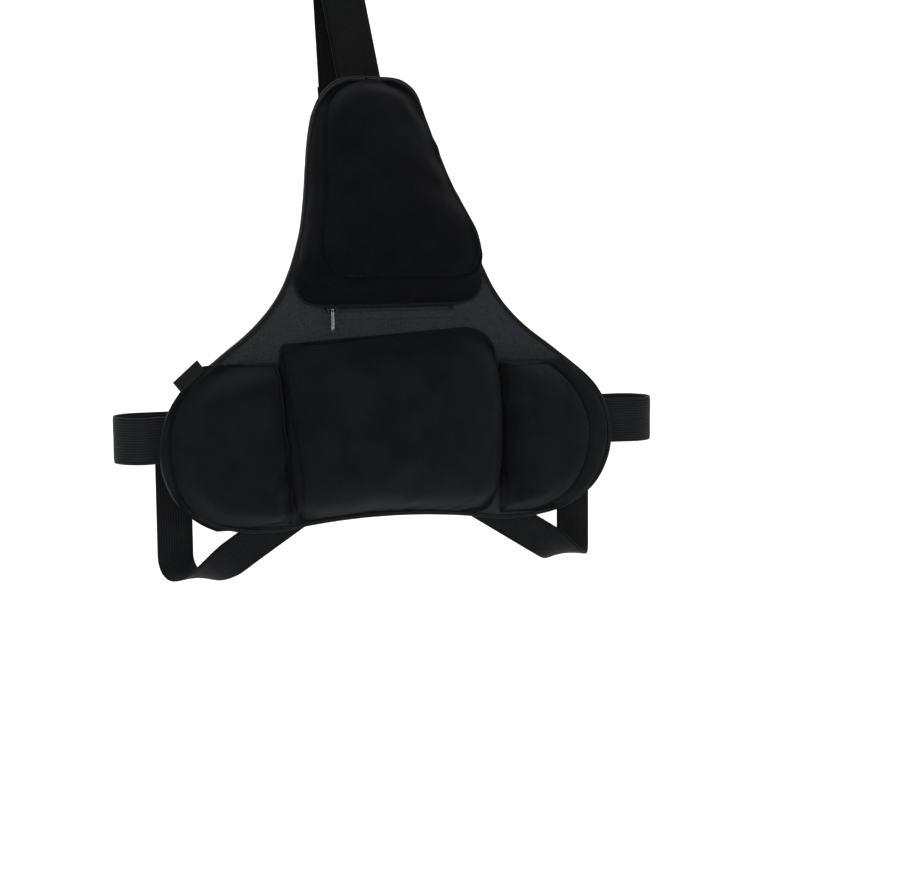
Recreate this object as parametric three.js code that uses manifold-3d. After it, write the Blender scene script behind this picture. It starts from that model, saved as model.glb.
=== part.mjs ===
// Lumbar support cushion: a bottle-shaped fabric backing that carries an upper back pad, a lumbar roll
// and two wing pads, and straps that go round a chair's backrest.
// Millimetres. -Y is the front, +X is to the right as seen from the front, +Z is up.
// The origin is on the rear face of the backing, on its centre line, level with the side straps.
import * as THREE from "three";
import { mergeVertices } from "three/addons/utils/BufferGeometryUtils.js";
import Module from "manifold-3d";

const wasm = await Module();
wasm.setup();

// --- Driving dimensions ---------------------------------------------------------------------------
const GAP = 0.4; // clearance kept between separate pieces

// The backing is flat in the middle, its wings wrap forward, and its upper part leans back.
const FLAT_HALF = 60;
const WRAP_RADIUS = 800;
const LEAN_START = 106;
const LEAN_RADIUS = 200;
const LEAN = THREE.MathUtils.degToRad(18);
const SWAY = -4.5; // how far the upper part leans to the left
const SWAY_HEIGHTS = [160, 255]; // heights between which the lean builds up
const SWAY_END = [262, 300]; // heights between which most of it dies out again
const SWAY_KEPT = 0.1;

// Layers of the backing, measured forward from its rear face.
const REAR_PANEL = [0, 1.5];
const STIFFENER = [2.1, 3.7];
const FRONT_PANEL = [4.3, 6];
const PANEL_INSET = 2.4; // from the outline to the edge of the front panel
const REAR_PANEL_INSET = 5; // the rear panel stops beside the binding's rear lip
const STIFFENER_INSET = 6;
const BINDING_WALL = 0.9;
const BINDING_LIP = 3.2;
const BINDING_FRONT = 7.2;

const ARCH_RISE = 8; // the bottom edge rises in the middle
const ARCH_HALF = 95;
const ARCH_FADE = [-78, -30]; // heights between which the arch dies out

const PAD_BASE = 7;
const COVER_WALL = 1.5;
const FOAM_GAP = 1.5;

const WEBBING = { wide: 38, narrow: 30, thick: 1.5 };
const WEBBING_SLOT = WEBBING.wide / 2 + 0.5; // half length of the slots that webbing passes through
const STRAP_SEWN_IN = 25; // how far each strap runs behind the backing
const STRAP_DEPTH = -1.3; // the straps lie just behind the backing's rear face
const LEFT_FOLD_X = 206; // where the side straps begin to turn round the backrest's sides
const RIGHT_FOLD_X = 218;
const REAR_Y = 32; // plane of the side straps behind the backrest
const TAIL_STEP = 4; // from a strap to the free end that lies behind it
const TOP_FOLD_S = 380; // height along the backing where the top strap turns over the backrest
const TOP_FOLD_RADIUS = 13;
const TOP_ROOT_X = -5; // the top strap starts a little to the left and slants a little further left
const TOP_STRAP_X = -15; // its middle from the fold down
const TOP_TAIL_ENDS = [75, -55]; // the top strap's free end, above and below its adjuster

const ZIP_S = 101;
const ZIP_HALF = 56;
const SLIDER_U = -50;
const HINGE_DEPTH = 11.6; // height of the zip pull's pivot above the rear face

const BUCKLE_X = 75; // where the plug's shoulder meets the socket
const ADJUSTER = { length: 24, rail: 2.9, bar: 1.8, overlap: 3.4 };
const LEFT_ADJUSTER_X = -83;
const RIGHT_ADJUSTER_X = 150;
const LEFT_TAIL_END_X = -133;
const RIGHT_TAIL_END_X = 202;
const TOP_ADJUSTER_Z = 215;

// --- Colours and finishes -------------------------------------------------------------------------
const FINISH = {
  padFabric: { color: 0x16171a, roughness: 0.95, metalness: 0 },
  meshFabric: { color: 0x2c2d31, roughness: 0.9, metalness: 0 },
  foam: { color: 0x4a4a48, roughness: 1, metalness: 0 },
  webbing: { color: 0x232526, roughness: 0.8, metalness: 0 },
  binding: { color: 0x141518, roughness: 0.85, metalness: 0 },
  plastic: { color: 0x121213, roughness: 0.45, metalness: 0 },
  board: { color: 0x3b3d40, roughness: 0.6, metalness: 0 },
  nickel: { color: 0x9a9b9e, roughness: 0.3, metalness: 1 },
  label: { color: 0x0c0c0d, roughness: 0.35, metalness: 0 },
};

// --- Shared geometry ------------------------------------------------------------------------------
const { clamp, lerp, mapLinear, smoothstep } = THREE.MathUtils;

function sway(s) {
  const fading = 1 - (1 - SWAY_KEPT) * smoothstep(s, ...SWAY_END);
  return SWAY * smoothstep(s, ...SWAY_HEIGHTS) * fading;
}

// A point of the flat pattern (u across, s up, d forward of the rear face) in its worn shape.
function bend(u, s, d) {
  const wrap = Math.max(Math.abs(u) - FLAT_HALF, 0) / WRAP_RADIUS;
  const across = Math.min(Math.abs(u), FLAT_HALF) + (WRAP_RADIUS - d) * Math.sin(wrap);
  const forward = WRAP_RADIUS - (WRAP_RADIUS - d) * Math.cos(wrap);
  const angle = clamp((s - LEAN_START) / LEAN_RADIUS, 0, LEAN);
  const beyond = Math.max(s - LEAN_START - LEAN_RADIUS * LEAN, 0);
  const back = LEAN_RADIUS * (1 - Math.cos(angle)) + beyond * Math.sin(angle);
  const up = Math.min(s, LEAN_START) + LEAN_RADIUS * Math.sin(angle) + beyond * Math.cos(angle);
  return new THREE.Vector3(
    Math.sign(u) * across + sway(s),
    back - forward * Math.cos(angle),
    up + forward * Math.sin(angle),
  );
}

function positionsOnly(geometry) {
  geometry.deleteAttribute("normal");
  geometry.deleteAttribute("uv");
  return geometry;
}

// A box whose grid points are carried to new places: across, rearward and up all run from 0 to 1.
function gridSolid(columns, layers, rows, place) {
  const geometry = mergeVertices(positionsOnly(new THREE.BoxGeometry(1, 1, 1, columns, layers, rows)));
  const position = geometry.attributes.position;
  for (let i = 0; i < position.count; i++) {
    const point = place(position.getX(i) + 0.5, position.getY(i) + 0.5, position.getZ(i) + 0.5);
    position.setXYZ(i, point.x, point.y, point.z);
  }
  return geometry;
}

function toManifold(geometry) {
  const merged = mergeVertices(positionsOnly(geometry.clone()), 1e-4);
  return new wasm.Manifold(
    new wasm.Mesh({
      numProp: 3,
      vertProperties: new Float32Array(merged.attributes.position.array),
      triVerts: new Uint32Array(merged.index.array),
    }),
  );
}

function fromManifold(solid) {
  const mesh = solid.getMesh();
  return new THREE.BufferGeometry()
    .setAttribute("position", new THREE.BufferAttribute(mesh.vertProperties, 3))
    .setIndex(new THREE.BufferAttribute(mesh.triVerts, 1));
}

// A box between two corners.
function block([x0, y0, z0], [x1, y1, z1]) {
  return new THREE.BoxGeometry(x1 - x0, y1 - y0, z1 - z0).translate(
    (x0 + x1) / 2,
    (y0 + y1) / 2,
    (z0 + z1) / 2,
  );
}

function join(geometries) {
  return fromManifold(geometries.map(toManifold).reduce((whole, next) => whole.add(next)));
}

function cut(geometry, tools) {
  const less = (whole, tool) => whole.subtract(tool);
  return fromManifold(tools.map(toManifold).reduce(less, toManifold(geometry)));
}

// Points of an arc, without the last one when it would close on the first.
function arcPoints(x, y, radius, from, to, sides) {
  const whole = Math.abs(to - from) > 2 * Math.PI - 1e-6;
  return Array.from({ length: whole ? sides : sides + 1 }, (_, i) => {
    const angle = from + ((to - from) * i) / sides;
    return new THREE.Vector2(x + radius * Math.cos(angle), y + radius * Math.sin(angle));
  });
}

const root = new THREE.Group();

function addMesh(name, geometry, finish, parent = root) {
  geometry.computeVertexNormals();
  const mesh = new THREE.Mesh(geometry, new THREE.MeshStandardMaterial(FINISH[finish]));
  mesh.name = name;
  parent.add(mesh);
  return mesh;
}

// Rows of a pattern piece: its half width at each height, drawn in from the outline by an inset.
function rowsOf(outline, count, inset) {
  const curve = new THREE.SplineCurve(outline.map(([u, s]) => new THREE.Vector2(u, s)));
  const lowest = outline[0][1] + inset;
  const highest = outline[outline.length - 1][1] - inset;
  const rows = [];
  for (let i = 0; i <= count; i++) {
    const point = curve.getPointAt(i / count);
    const along = curve.getTangentAt(i / count);
    const width = point.x - inset * along.y;
    const height = clamp(point.y + inset * along.x, lowest, highest);
    if (!rows.length || height > rows[rows.length - 1].s + 0.5) rows.push({ w: width, s: height });
  }
  return rows;
}

function archAt(u, s) {
  const reach = clamp(1 - (u / ARCH_HALF) ** 2, 0, 1);
  const fade = clamp((ARCH_FADE[1] - s) / (ARCH_FADE[1] - ARCH_FADE[0]), 0, 1);
  return ARCH_RISE * reach * fade;
}

// --- Backing --------------------------------------------------------------------------------------
// Right-hand half of the backing's outline, from the bottom edge up to the top strap.
const BACKING_OUTLINE = [
  [118, -81],
  [152, -74],
  [179, -57],
  [193, -34],
  [197, -10],
  [193, 13],
  [180, 36],
  [152, 60],
  [116, 88],
  [92, 117],
  [76, 155],
  [66, 192],
  [58.5, 226],
  [51.5, 258],
  [43, 284],
  [33, 295.5],
  [19, 300.5],
];
const BACKING_ROWS = 22;
const BACKING_COLUMNS = 12;

// Across a row, the columns keep to the flat middle zone, so the rear face is truly flat there.
function columnAt(a, width) {
  const t = 2 * a - 1;
  const flat = Math.min(FLAT_HALF, width / 2);
  const size = Math.abs(t) <= 0.5 ? 2 * flat * Math.abs(t) : flat + (width - flat) * (2 * Math.abs(t) - 1);
  return Math.sign(t) * size;
}

function backingLayer([rear, front], inset) {
  const rows = rowsOf(BACKING_OUTLINE, BACKING_ROWS, inset);
  return gridSolid(BACKING_COLUMNS, 1, rows.length - 1, (a, b, c) => {
    const row = rows[Math.round(c * (rows.length - 1))];
    const u = columnAt(a, row.w);
    return bend(u, row.s + archAt(u, row.s), front + (rear - front) * b);
  });
}

// The whole outline as one loop of points, each with its inward direction.
function backingLoop() {
  const curve = new THREE.SplineCurve(BACKING_OUTLINE.map(([u, s]) => new THREE.Vector2(u, s)));
  const steps = 34;
  const right = [];
  for (let i = 0; i <= steps; i++) {
    const at = curve.getPointAt(i / steps);
    const along = curve.getTangentAt(i / steps);
    right.push({ u: at.x, s: at.y, inU: -along.y, inS: along.x });
  }
  const cornerDown = { ...right[0], inU: -Math.SQRT1_2, inS: 1 };
  const bottomSteps = 8;
  const bottom = [];
  for (let i = 1; i < bottomSteps; i++) {
    const u = BACKING_OUTLINE[0][0] * ((2 * i) / bottomSteps - 1);
    bottom.push({ u, s: BACKING_OUTLINE[0][1], inU: 0, inS: 1 });
  }
  right[0] = cornerDown;
  right[steps] = { ...right[steps], inU: -Math.SQRT1_2, inS: -1 };
  const left = right.map((p) => ({ ...p, u: -p.u, inU: -p.inU })).reverse();
  return [...right, ...left, ...bottom];
}

// A tape of C section folded over the backing's edge, as a ring of section points.
function edgeBinding() {
  const loop = backingLoop();
  const section = [
    [0, BINDING_FRONT],
    [BINDING_LIP, BINDING_FRONT],
    [BINDING_LIP, BINDING_FRONT - BINDING_WALL],
    [BINDING_WALL, BINDING_FRONT - BINDING_WALL],
    [BINDING_WALL, BINDING_WALL],
    [BINDING_LIP, BINDING_WALL],
    [BINDING_LIP, 0],
    [0, 0],
  ];
  const sides = section.length;
  const stations = loop.length;
  const geometry = positionsOnly(new THREE.TorusGeometry(2, 1, sides, stations));
  const position = geometry.attributes.position;
  for (let j = 0; j <= sides; j++) {
    for (let i = 0; i <= stations; i++) {
      const at = loop[i % stations];
      const [inward, depth] = section[j % sides];
      const u = at.u + inward * at.inU;
      const s = at.s + inward * at.inS;
      const point = bend(u, s + archAt(u, at.s), depth);
      position.setXYZ(j * (stations + 1) + i, point.x, point.y, point.z);
    }
  }
  return mergeVertices(geometry, 1e-4);
}

addMesh("backing_rear_panel", backingLayer(REAR_PANEL, REAR_PANEL_INSET), "meshFabric");
addMesh("backing_stiffener", backingLayer(STIFFENER, STIFFENER_INSET), "board");
addMesh("backing_front_panel", backingLayer(FRONT_PANEL, PANEL_INSET), "meshFabric");
addMesh("edge_binding", edgeBinding(), "binding");

// --- Pads -----------------------------------------------------------------------------------------
// A pad tapers from its base to its face, and its depth and centre follow functions of the place.
// outline: outer half, from the bottom up. innerEdge: a second straight edge for the wings; a pad
// without one is symmetrical about the centre line. side: which half a wing is on. taper: how far the
// face is drawn in along each edge.
const WING_OUTLINE = [
  [112, -75.5],
  [138, -73.5],
  [158, -66],
  [174.5, -54],
  [186, -36],
  [191.5, -12],
  [188.5, 9],
  [178, 29],
  [160, 46],
  [144, 57],
  [122, 62],
];
const PADS = {
  upper_pad: {
    outline: [
      [54, 107],
      [68, 110],
      [76, 121],
      [75.5, 135],
      [70, 155],
      [61.5, 187],
      [55, 218],
      [47, 250],
      [42, 268],
      [35.5, 281],
      [26.5, 289.5],
      [15, 294.5],
    ],
    taper: { side: 7, bottom: 20, top: 6 },
    depth: (u, s) => mapLinear(s, 107, 294, 40, 20),
    columns: 8,
    rows: 13,
  },
  lumbar_pad: {
    outline: [
      [72, -75],
      [84, -71],
      [91, -59],
      [93, -40],
      [93.5, 0],
      [93, 40],
      [91, 58],
      [84, 72],
      [66, 80],
    ],
    taper: { side: 6, bottom: 7, top: 10 },
    depth: (u, s) => 24 + 21 * Math.cos(((s + 2) / 82) * 1.25),
    columns: 8,
    rows: 12,
  },
  left_wing: {
    outline: WING_OUTLINE,
    innerEdge: 97,
    side: -1,
    taper: { side: 5, inner: 2.5, bottom: 6, top: 7 },
    depth: (u) => mapLinear(Math.abs(u), 97, 192, 36, 20),
    columns: 6,
    rows: 13,
  },
  right_wing: {
    outline: WING_OUTLINE,
    innerEdge: 97,
    side: 1,
    taper: { side: 20, inner: 2.5, bottom: 6, top: 7 },
    depth: (u) => mapLinear(Math.abs(u), 97, 176, 36, 22),
    columns: 6,
    rows: 13,
  },
};
const PAD_LAYERS = 3;
const SHOULDER = 2.2; // how late the sides turn in towards the face
const CROWN_DROP = 0.1; // share of the depth that a face loses at its edges

function padForm(pad, inset, base) {
  const rows = rowsOf(pad.outline, pad.rows, inset);
  const low = pad.outline[0][1];
  const high = pad.outline[pad.outline.length - 1][1];
  return gridSolid(pad.columns, PAD_LAYERS, rows.length - 1, (a, b, c) => {
    const row = rows[Math.round(c * (rows.length - 1))];
    const rise = 1 - b;
    const turned = rise ** SHOULDER;
    const drawIn = pad.taper.side * turned;
    const t = 2 * a - 1;
    let u;
    if (pad.innerEdge) {
      const inner = pad.innerEdge + inset + pad.taper.inner * turned;
      const outer = Math.max(row.w - drawIn, inner + 4);
      u = (pad.side * (inner + outer)) / 2 + (t * (outer - inner)) / 2;
    } else {
      u = t * (row.w - drawIn);
    }
    const share = (row.s - low) / (high - low);
    const s = row.s + rise * (pad.taper.bottom * (1 - share) - pad.taper.top * share);
    const crown = 1 - CROWN_DROP * t ** 4;
    const face = PAD_BASE + (pad.depth(u, s) - inset) * crown;
    return bend(u, s + archAt(u, row.s), base + (face - base) * rise);
  });
}

const BASE_CUT = PAD_BASE - 1; // the hollow of a cover runs out through its back
for (const [name, pad] of Object.entries(PADS)) {
  const cover = cut(padForm(pad, 0, PAD_BASE), [padForm(pad, COVER_WALL, BASE_CUT)]);
  addMesh(name + "_cover", cover, "padFabric");
  addMesh(name + "_foam", padForm(pad, COVER_WALL + FOAM_GAP, PAD_BASE + GAP), "foam");
}

// Piping round the sides and foot of the upper pad.
function piping() {
  const radius = 1.1;
  const offset = radius + GAP;
  const depth = BINDING_FRONT + GAP + radius;
  const rows = rowsOf(PADS.upper_pad.outline, 14, -offset).slice(1, -2);
  const foot = PADS.upper_pad.outline[0][1] - offset;
  const right = rows.map((row) => bend(row.w, row.s, depth));
  const left = rows.map((row) => bend(-row.w, row.s, depth)).reverse();
  const middle = [-40, 0, 40].map((u) => bend(u, foot, depth));
  const path = new THREE.CatmullRomCurve3([...left, ...middle, ...right]);
  const round = new THREE.Shape(arcPoints(0, 0, radius, 0, 2 * Math.PI, 6));
  return new THREE.ExtrudeGeometry(round, { steps: 44, extrudePath: path });
}
addMesh("upper_pad_piping", piping(), "binding");

// --- Zip under the upper pad ----------------------------------------------------------------------
const TAPE = [FRONT_PANEL[1] + GAP, FRONT_PANEL[1] + GAP + 0.6];
const TEETH_HALF = 1;
const TEETH_TOP = 7.7;

// Heights of the two tapes from the middle of the teeth.
const TAPE_ROWS = { upper: [1.3, 2.9], lower: [-8, -1.3] };

for (const [word, [low, high]] of Object.entries(TAPE_ROWS)) {
  const tape = block([-ZIP_HALF, -TAPE[1], ZIP_S + low], [ZIP_HALF, -TAPE[0], ZIP_S + high]);
  addMesh(`zip_tape_${word}`, tape, "binding");
}

function zipTeeth() {
  const start = SLIDER_U - 5;
  const end = ZIP_HALF - 3;
  return block([start, -TEETH_TOP, ZIP_S - TEETH_HALF], [end, -TAPE[0], ZIP_S + TEETH_HALF]);
}
addMesh("zip_teeth", zipTeeth(), "plastic");

function zipStop(x) {
  return block([x - 1, -TEETH_TOP - 0.6, ZIP_S - 1.2], [x + 1, -TAPE[0], ZIP_S + 1.2]);
}
addMesh("zip_stop_left", zipStop(SLIDER_U - 6.4), "nickel");
addMesh("zip_stop_right", zipStop(ZIP_HALF - 1.6), "nickel");

const BRIDGE_RADIUS = 0.7;

// Slider: a pointed plate with a flange each side of the teeth and a bridge for the pull.
function zipSlider() {
  const plan = new THREE.Shape();
  plan.moveTo(-4.5, -2);
  plan.lineTo(0, -2.8);
  plan.lineTo(4.5, -2.8);
  plan.lineTo(4.5, 2.8);
  plan.lineTo(0, 2.8);
  plan.lineTo(-4.5, 2);
  plan.closePath();
  const plateRear = TEETH_TOP + GAP;
  const plate = new THREE.ExtrudeGeometry(plan, { depth: 1.3, bevelEnabled: false })
    .rotateX(Math.PI / 2)
    .translate(0, -plateRear, 0);
  const flange = (sign) =>
    block([-1, -plateRear - 0.6, sign * 2 - 0.6], [4.5, -TAPE[1] - GAP / 2, sign * 2 + 0.6]);
  const post = (x) => block([x - 0.6, -HINGE_DEPTH - BRIDGE_RADIUS, -0.8], [x + 0.6, -plateRear - 0.6, 0.8]);
  const bar = new THREE.CylinderGeometry(BRIDGE_RADIUS, BRIDGE_RADIUS, 7, 10)
    .rotateZ(Math.PI / 2)
    .translate(0, -HINGE_DEPTH, 0);
  return join([plate, flange(-1), flange(1), post(-3.4), post(3.4), bar]).translate(SLIDER_U, 0, ZIP_S);
}
addMesh("zip_slider", zipSlider(), "nickel");

// Pull: an eye round the bridge and a slotted tongue that hangs from it.
function zipPull() {
  const width = 3.4;
  const length = 19;
  const thick = 1.2;
  const eyeRadius = 2.2;
  const eyeWide = 3.2;
  const slotHalf = 0.7;
  const slotEnds = [-5, -15];
  const tongue = new THREE.Shape([
    new THREE.Vector2(width / 2, -eyeRadius + 0.5),
    new THREE.Vector2(-width / 2, -eyeRadius + 0.5),
    ...arcPoints(0, width / 2 - length, width / 2, Math.PI, 2 * Math.PI, 8),
  ]);
  const slot = [
    new THREE.Vector2(-slotHalf, slotEnds[0]),
    new THREE.Vector2(slotHalf, slotEnds[0]),
    new THREE.Vector2(slotHalf, slotEnds[1]),
    new THREE.Vector2(-slotHalf, slotEnds[1]),
  ];
  tongue.holes.push(new THREE.Path(slot));
  const blade = new THREE.ExtrudeGeometry(tongue, { depth: thick, bevelEnabled: false })
    .rotateX(Math.PI / 2)
    .translate(0, thick / 2, 0);
  const eye = new THREE.Shape(arcPoints(0, 0, eyeRadius, 0, 2 * Math.PI, 12));
  eye.holes.push(new THREE.Path(arcPoints(0, 0, BRIDGE_RADIUS + GAP, 0, 2 * Math.PI, 10)));
  const ring = new THREE.ExtrudeGeometry(eye, { depth: eyeWide, bevelEnabled: false })
    .rotateY(Math.PI / 2)
    .translate(-eyeWide / 2, 0, 0);
  return join([blade, ring]).translate(SLIDER_U, -HINGE_DEPTH, ZIP_S);
}
addMesh("zip_pull", zipPull(), "nickel");

// --- Side label -----------------------------------------------------------------------------------
function sideLabel() {
  const long = 27;
  const wide = 11.4;
  const centre = { u: -172.5, s: 51.5 };
  const slope = Math.atan2(26, 31); // along the outline beside the left wing
  const depth = [BINDING_FRONT + GAP, BINDING_FRONT + GAP + 1.1];
  return gridSolid(4, 1, 2, (a, b, c) => {
    const along = (a - 0.5) * long;
    const out = (c - 0.5) * wide;
    const u = centre.u + along * Math.cos(slope) - out * Math.sin(slope);
    const s = centre.s + along * Math.sin(slope) + out * Math.cos(slope);
    return bend(u, s, depth[1] + (depth[0] - depth[1]) * b);
  });
}
addMesh("side_label", sideLabel(), "label");

// --- Straps ---------------------------------------------------------------------------------------
// A flat band through stations, each a point, the way its outer face looks and, where the next point
// doesn't tell it, the way the band runs.
function ribbon(stations, width, columns = 1) {
  const last = stations.length - 1;
  const frames = stations.map(({ at, facing, along: heading }, i) => {
    const next = stations[Math.min(i + 1, last)].at;
    const along = (heading ?? next.clone().sub(stations[Math.max(i - 1, 0)].at)).clone().normalize();
    const across = new THREE.Vector3().crossVectors(facing, along).normalize();
    return { at, across, normal: new THREE.Vector3().crossVectors(along, across) };
  });
  return gridSolid(columns, 1, last, (a, b, c) => {
    const { at, across, normal } = frames[Math.round(c * last)];
    return at
      .clone()
      .addScaledVector(across, (a - 0.5) * width)
      .addScaledVector(normal, (b - 0.5) * WEBBING.thick);
  });
}

const vector = (x, y, z) => new THREE.Vector3(x, y, z);
const FRONT = vector(0, -1, 0);
const REAR = vector(0, 1, 0);
const steps = (count, from, to) => Array.from({ length: count + 1 }, (_, i) => lerp(from, to, i / count));

// Side strap: sewn behind a wing, round the side of the backrest, then flat across the rear.
const EDGE_U = 197;
const foldStartY = bend(EDGE_U, 0, STRAP_DEPTH).y - 3;
const SIDE_FOLD_RADIUS = (REAR_Y - foldStartY) / 2;
const SIDE_FOLD_Y = (REAR_Y + foldStartY) / 2;

const foldX = (side) => (side < 0 ? LEFT_FOLD_X : RIGHT_FOLD_X);

function sideStrapFront(side) {
  const sewn = steps(3, EDGE_U - STRAP_SEWN_IN, EDGE_U).map((u) => bend(side * u, 0, STRAP_DEPTH));
  const end = vector(side * (foldX(side) - GAP / 2), foldStartY, 0);
  return ribbon([...sewn, end].map((at) => ({ at, facing: FRONT })), WEBBING.wide);
}

function sideStrapFold(side) {
  return ribbon(
    steps(10, 0, Math.PI).map((angle) => ({
      at: vector(
        side * (foldX(side) + GAP / 2 + SIDE_FOLD_RADIUS * Math.sin(angle)),
        SIDE_FOLD_Y - SIDE_FOLD_RADIUS * Math.cos(angle),
        0,
      ),
      facing: vector(side * Math.sin(angle), -Math.cos(angle), 0),
    })),
    WEBBING.wide,
  );
}

function rearBand(fromX, toX, y) {
  return ribbon(
    [fromX, toX].map((x) => ({ at: vector(x, y, 0), facing: REAR })),
    WEBBING.wide,
  );
}

const PLUG = { base: [-23, -0.7], prongEnd: 24 };
const SOCKET = { length: 36 };
const BUCKLE_HALF = 23;
const BUCKLE_Y = [REAR_Y - 3.5, REAR_Y + 7.5];
const plugEndX = BUCKLE_X + PLUG.base[0] - GAP;
const socketEndX = BUCKLE_X + SOCKET.length + GAP;

addMesh("left_strap_front", sideStrapFront(-1), "webbing");
addMesh("left_strap_fold", sideStrapFold(-1), "webbing");
addMesh("left_strap_rear", rearBand(-LEFT_FOLD_X + GAP / 2, plugEndX, REAR_Y), "webbing");
addMesh("left_strap_tail", rearBand(plugEndX, LEFT_TAIL_END_X, REAR_Y + TAIL_STEP), "webbing");
addMesh("right_strap_front", sideStrapFront(1), "webbing");
addMesh("right_strap_fold", sideStrapFold(1), "webbing");
addMesh("right_strap_rear", rearBand(RIGHT_FOLD_X - GAP / 2, socketEndX, REAR_Y), "webbing");
addMesh("right_strap_tail", rearBand(socketEndX, RIGHT_TAIL_END_X, REAR_Y + TAIL_STEP), "webbing");

// Lower strap: sewn behind the bottom edge, slanting outward, round the foot of the backrest and
// straight up behind it to the side strap.
const LOWER_ROOT = { u: 101, s: -79 };
const LOWER_SLOPE = Math.atan2(31, 49);
const LOWER_FOLD_Z = -102;
const LOWER_REAR_Y = REAR_Y - 1.8;

function lowerStrap(side) {
  const along = { u: Math.cos(LOWER_SLOPE), s: -Math.sin(LOWER_SLOPE) };
  const reach = (LOWER_ROOT.s - LOWER_FOLD_Z) / Math.sin(LOWER_SLOPE);
  const front = steps(4, -STRAP_SEWN_IN, reach).map((r) => ({
    at: bend(side * (LOWER_ROOT.u + r * along.u), LOWER_ROOT.s + r * along.s, STRAP_DEPTH),
    facing: FRONT,
  }));
  const start = front[front.length - 1].at;
  const radius = (LOWER_REAR_Y - start.y) / 2;
  const drift = (radius * along.u) / -along.s; // sideways travel per radian as the fold begins
  const fold = steps(20, 0, Math.PI).map((angle) => ({
    at: vector(
      start.x + side * drift * (angle - angle ** 2 / (2 * Math.PI)),
      start.y + radius * (1 - Math.cos(angle)),
      start.z - GAP - radius * Math.sin(angle),
    ),
    facing: vector(0, -Math.cos(angle), -Math.sin(angle)),
    along: vector(
      side * drift * (1 - angle / Math.PI),
      radius * Math.sin(angle),
      -radius * Math.cos(angle),
    ),
  }));
  const turned = fold[fold.length - 1].at;
  const rear = [turned.z + GAP, 15].map((z) => ({
    at: vector(turned.x, LOWER_REAR_Y, z),
    facing: REAR,
  }));
  return { front, fold, rear };
}

for (const [word, side] of [
  ["left", -1],
  ["right", 1],
]) {
  for (const [part, stations] of Object.entries(lowerStrap(side))) {
    const columns = part === "fold" ? 5 : 1; // the fold twists, so it takes more columns
    addMesh(`lower_${word}_strap_${part}`, ribbon(stations, WEBBING.narrow, columns), "webbing");
  }
}

// Top strap: sewn behind the top of the backing, over the backrest and down behind it to a loop
// round the left side strap.
const leanNormal = vector(0, -Math.cos(LEAN), Math.sin(LEAN));
const leanUp = vector(0, Math.sin(LEAN), Math.cos(LEAN));
const topStrapAt = (x, s) => bend(x - sway(s), s, STRAP_DEPTH);
const foldTop = topStrapAt(TOP_STRAP_X, TOP_FOLD_S);
const TOP_LOOP_Y = [REAR_Y - 5, REAR_Y + TAIL_STEP + 2.5];
const LOOP_TOP_Z = 46;
const LOOP_BOTTOM_Z = -22;

function topStrapFront() {
  const backingTop = BACKING_OUTLINE[BACKING_OUTLINE.length - 1][1];
  const heights = steps(4, backingTop - STRAP_SEWN_IN, TOP_FOLD_S);
  return ribbon(
    heights.map((s, i) => ({
      at: topStrapAt(lerp(TOP_ROOT_X, TOP_STRAP_X, i / (heights.length - 1)), s),
      facing: leanNormal,
      along: leanUp,
    })),
    WEBBING.wide,
  );
}

const foldCentre = foldTop.clone().addScaledVector(leanNormal, -TOP_FOLD_RADIUS);
const rearTop = foldCentre.clone().addScaledVector(leanNormal, -TOP_FOLD_RADIUS);
const rearFoot = vector(TOP_STRAP_X, TOP_LOOP_Y[1], LOOP_TOP_Z - 16);
const rearDown = rearFoot.clone().sub(rearTop).normalize();
const rearFacing = new THREE.Vector3().crossVectors(vector(1, 0, 0), rearDown).normalize();

function topStrapFold() {
  const lift = leanUp.clone().multiplyScalar(GAP);
  return ribbon(
    steps(10, 0, Math.PI).map((angle) => {
      const facing = leanNormal
        .clone()
        .multiplyScalar(Math.cos(angle))
        .addScaledVector(leanUp, Math.sin(angle));
      return { at: foldCentre.clone().add(lift).addScaledVector(facing, TOP_FOLD_RADIUS), facing };
    }),
    WEBBING.wide,
  );
}

const atHeight = (z) => rearTop.clone().addScaledVector(rearDown, (z - rearTop.z) / rearDown.z);

function topStrapRear() {
  const lower = atHeight(LOOP_TOP_Z + GAP);
  return ribbon([rearTop, lower].map((at) => ({ at, facing: rearFacing })), WEBBING.wide);
}

function topStrapTail() {
  const offset = rearFacing.clone().multiplyScalar(TAIL_STEP);
  return ribbon(
    TOP_TAIL_ENDS.map((z) => ({ at: atHeight(TOP_ADJUSTER_Z + z).add(offset), facing: rearFacing })),
    WEBBING.wide,
  );
}

function topStrapLoop() {
  const radius = (TOP_LOOP_Y[1] - TOP_LOOP_Y[0]) / 2;
  const centreY = (TOP_LOOP_Y[1] + TOP_LOOP_Y[0]) / 2;
  const turn = steps(6, 0, Math.PI).map((angle) => ({
    at: vector(TOP_STRAP_X, centreY + radius * Math.cos(angle), LOOP_BOTTOM_Z - radius * Math.sin(angle)),
    facing: vector(0, Math.cos(angle), -Math.sin(angle)),
  }));
  const sewn = rearFacing.clone().multiplyScalar(-WEBBING.thick - GAP);
  const inner = rearFacing.clone().negate();
  return ribbon(
    [
      { at: atHeight(LOOP_TOP_Z), facing: rearFacing },
      { at: vector(TOP_STRAP_X, TOP_LOOP_Y[1], LOOP_TOP_Z - 20), facing: REAR },
      ...turn,
      { at: vector(TOP_STRAP_X, TOP_LOOP_Y[0], LOOP_TOP_Z - 25), facing: FRONT },
      { at: atHeight(LOOP_TOP_Z - 12).add(sewn), facing: inner },
      { at: atHeight(LOOP_TOP_Z).add(sewn), facing: inner },
    ],
    WEBBING.wide,
  );
}

addMesh("top_strap_front", topStrapFront(), "webbing");
addMesh("top_strap_fold", topStrapFold(), "webbing");
addMesh("top_strap_rear", topStrapRear(), "webbing");
addMesh("top_strap_tail", topStrapTail(), "webbing");
addMesh("top_strap_loop", topStrapLoop(), "webbing");

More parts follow.
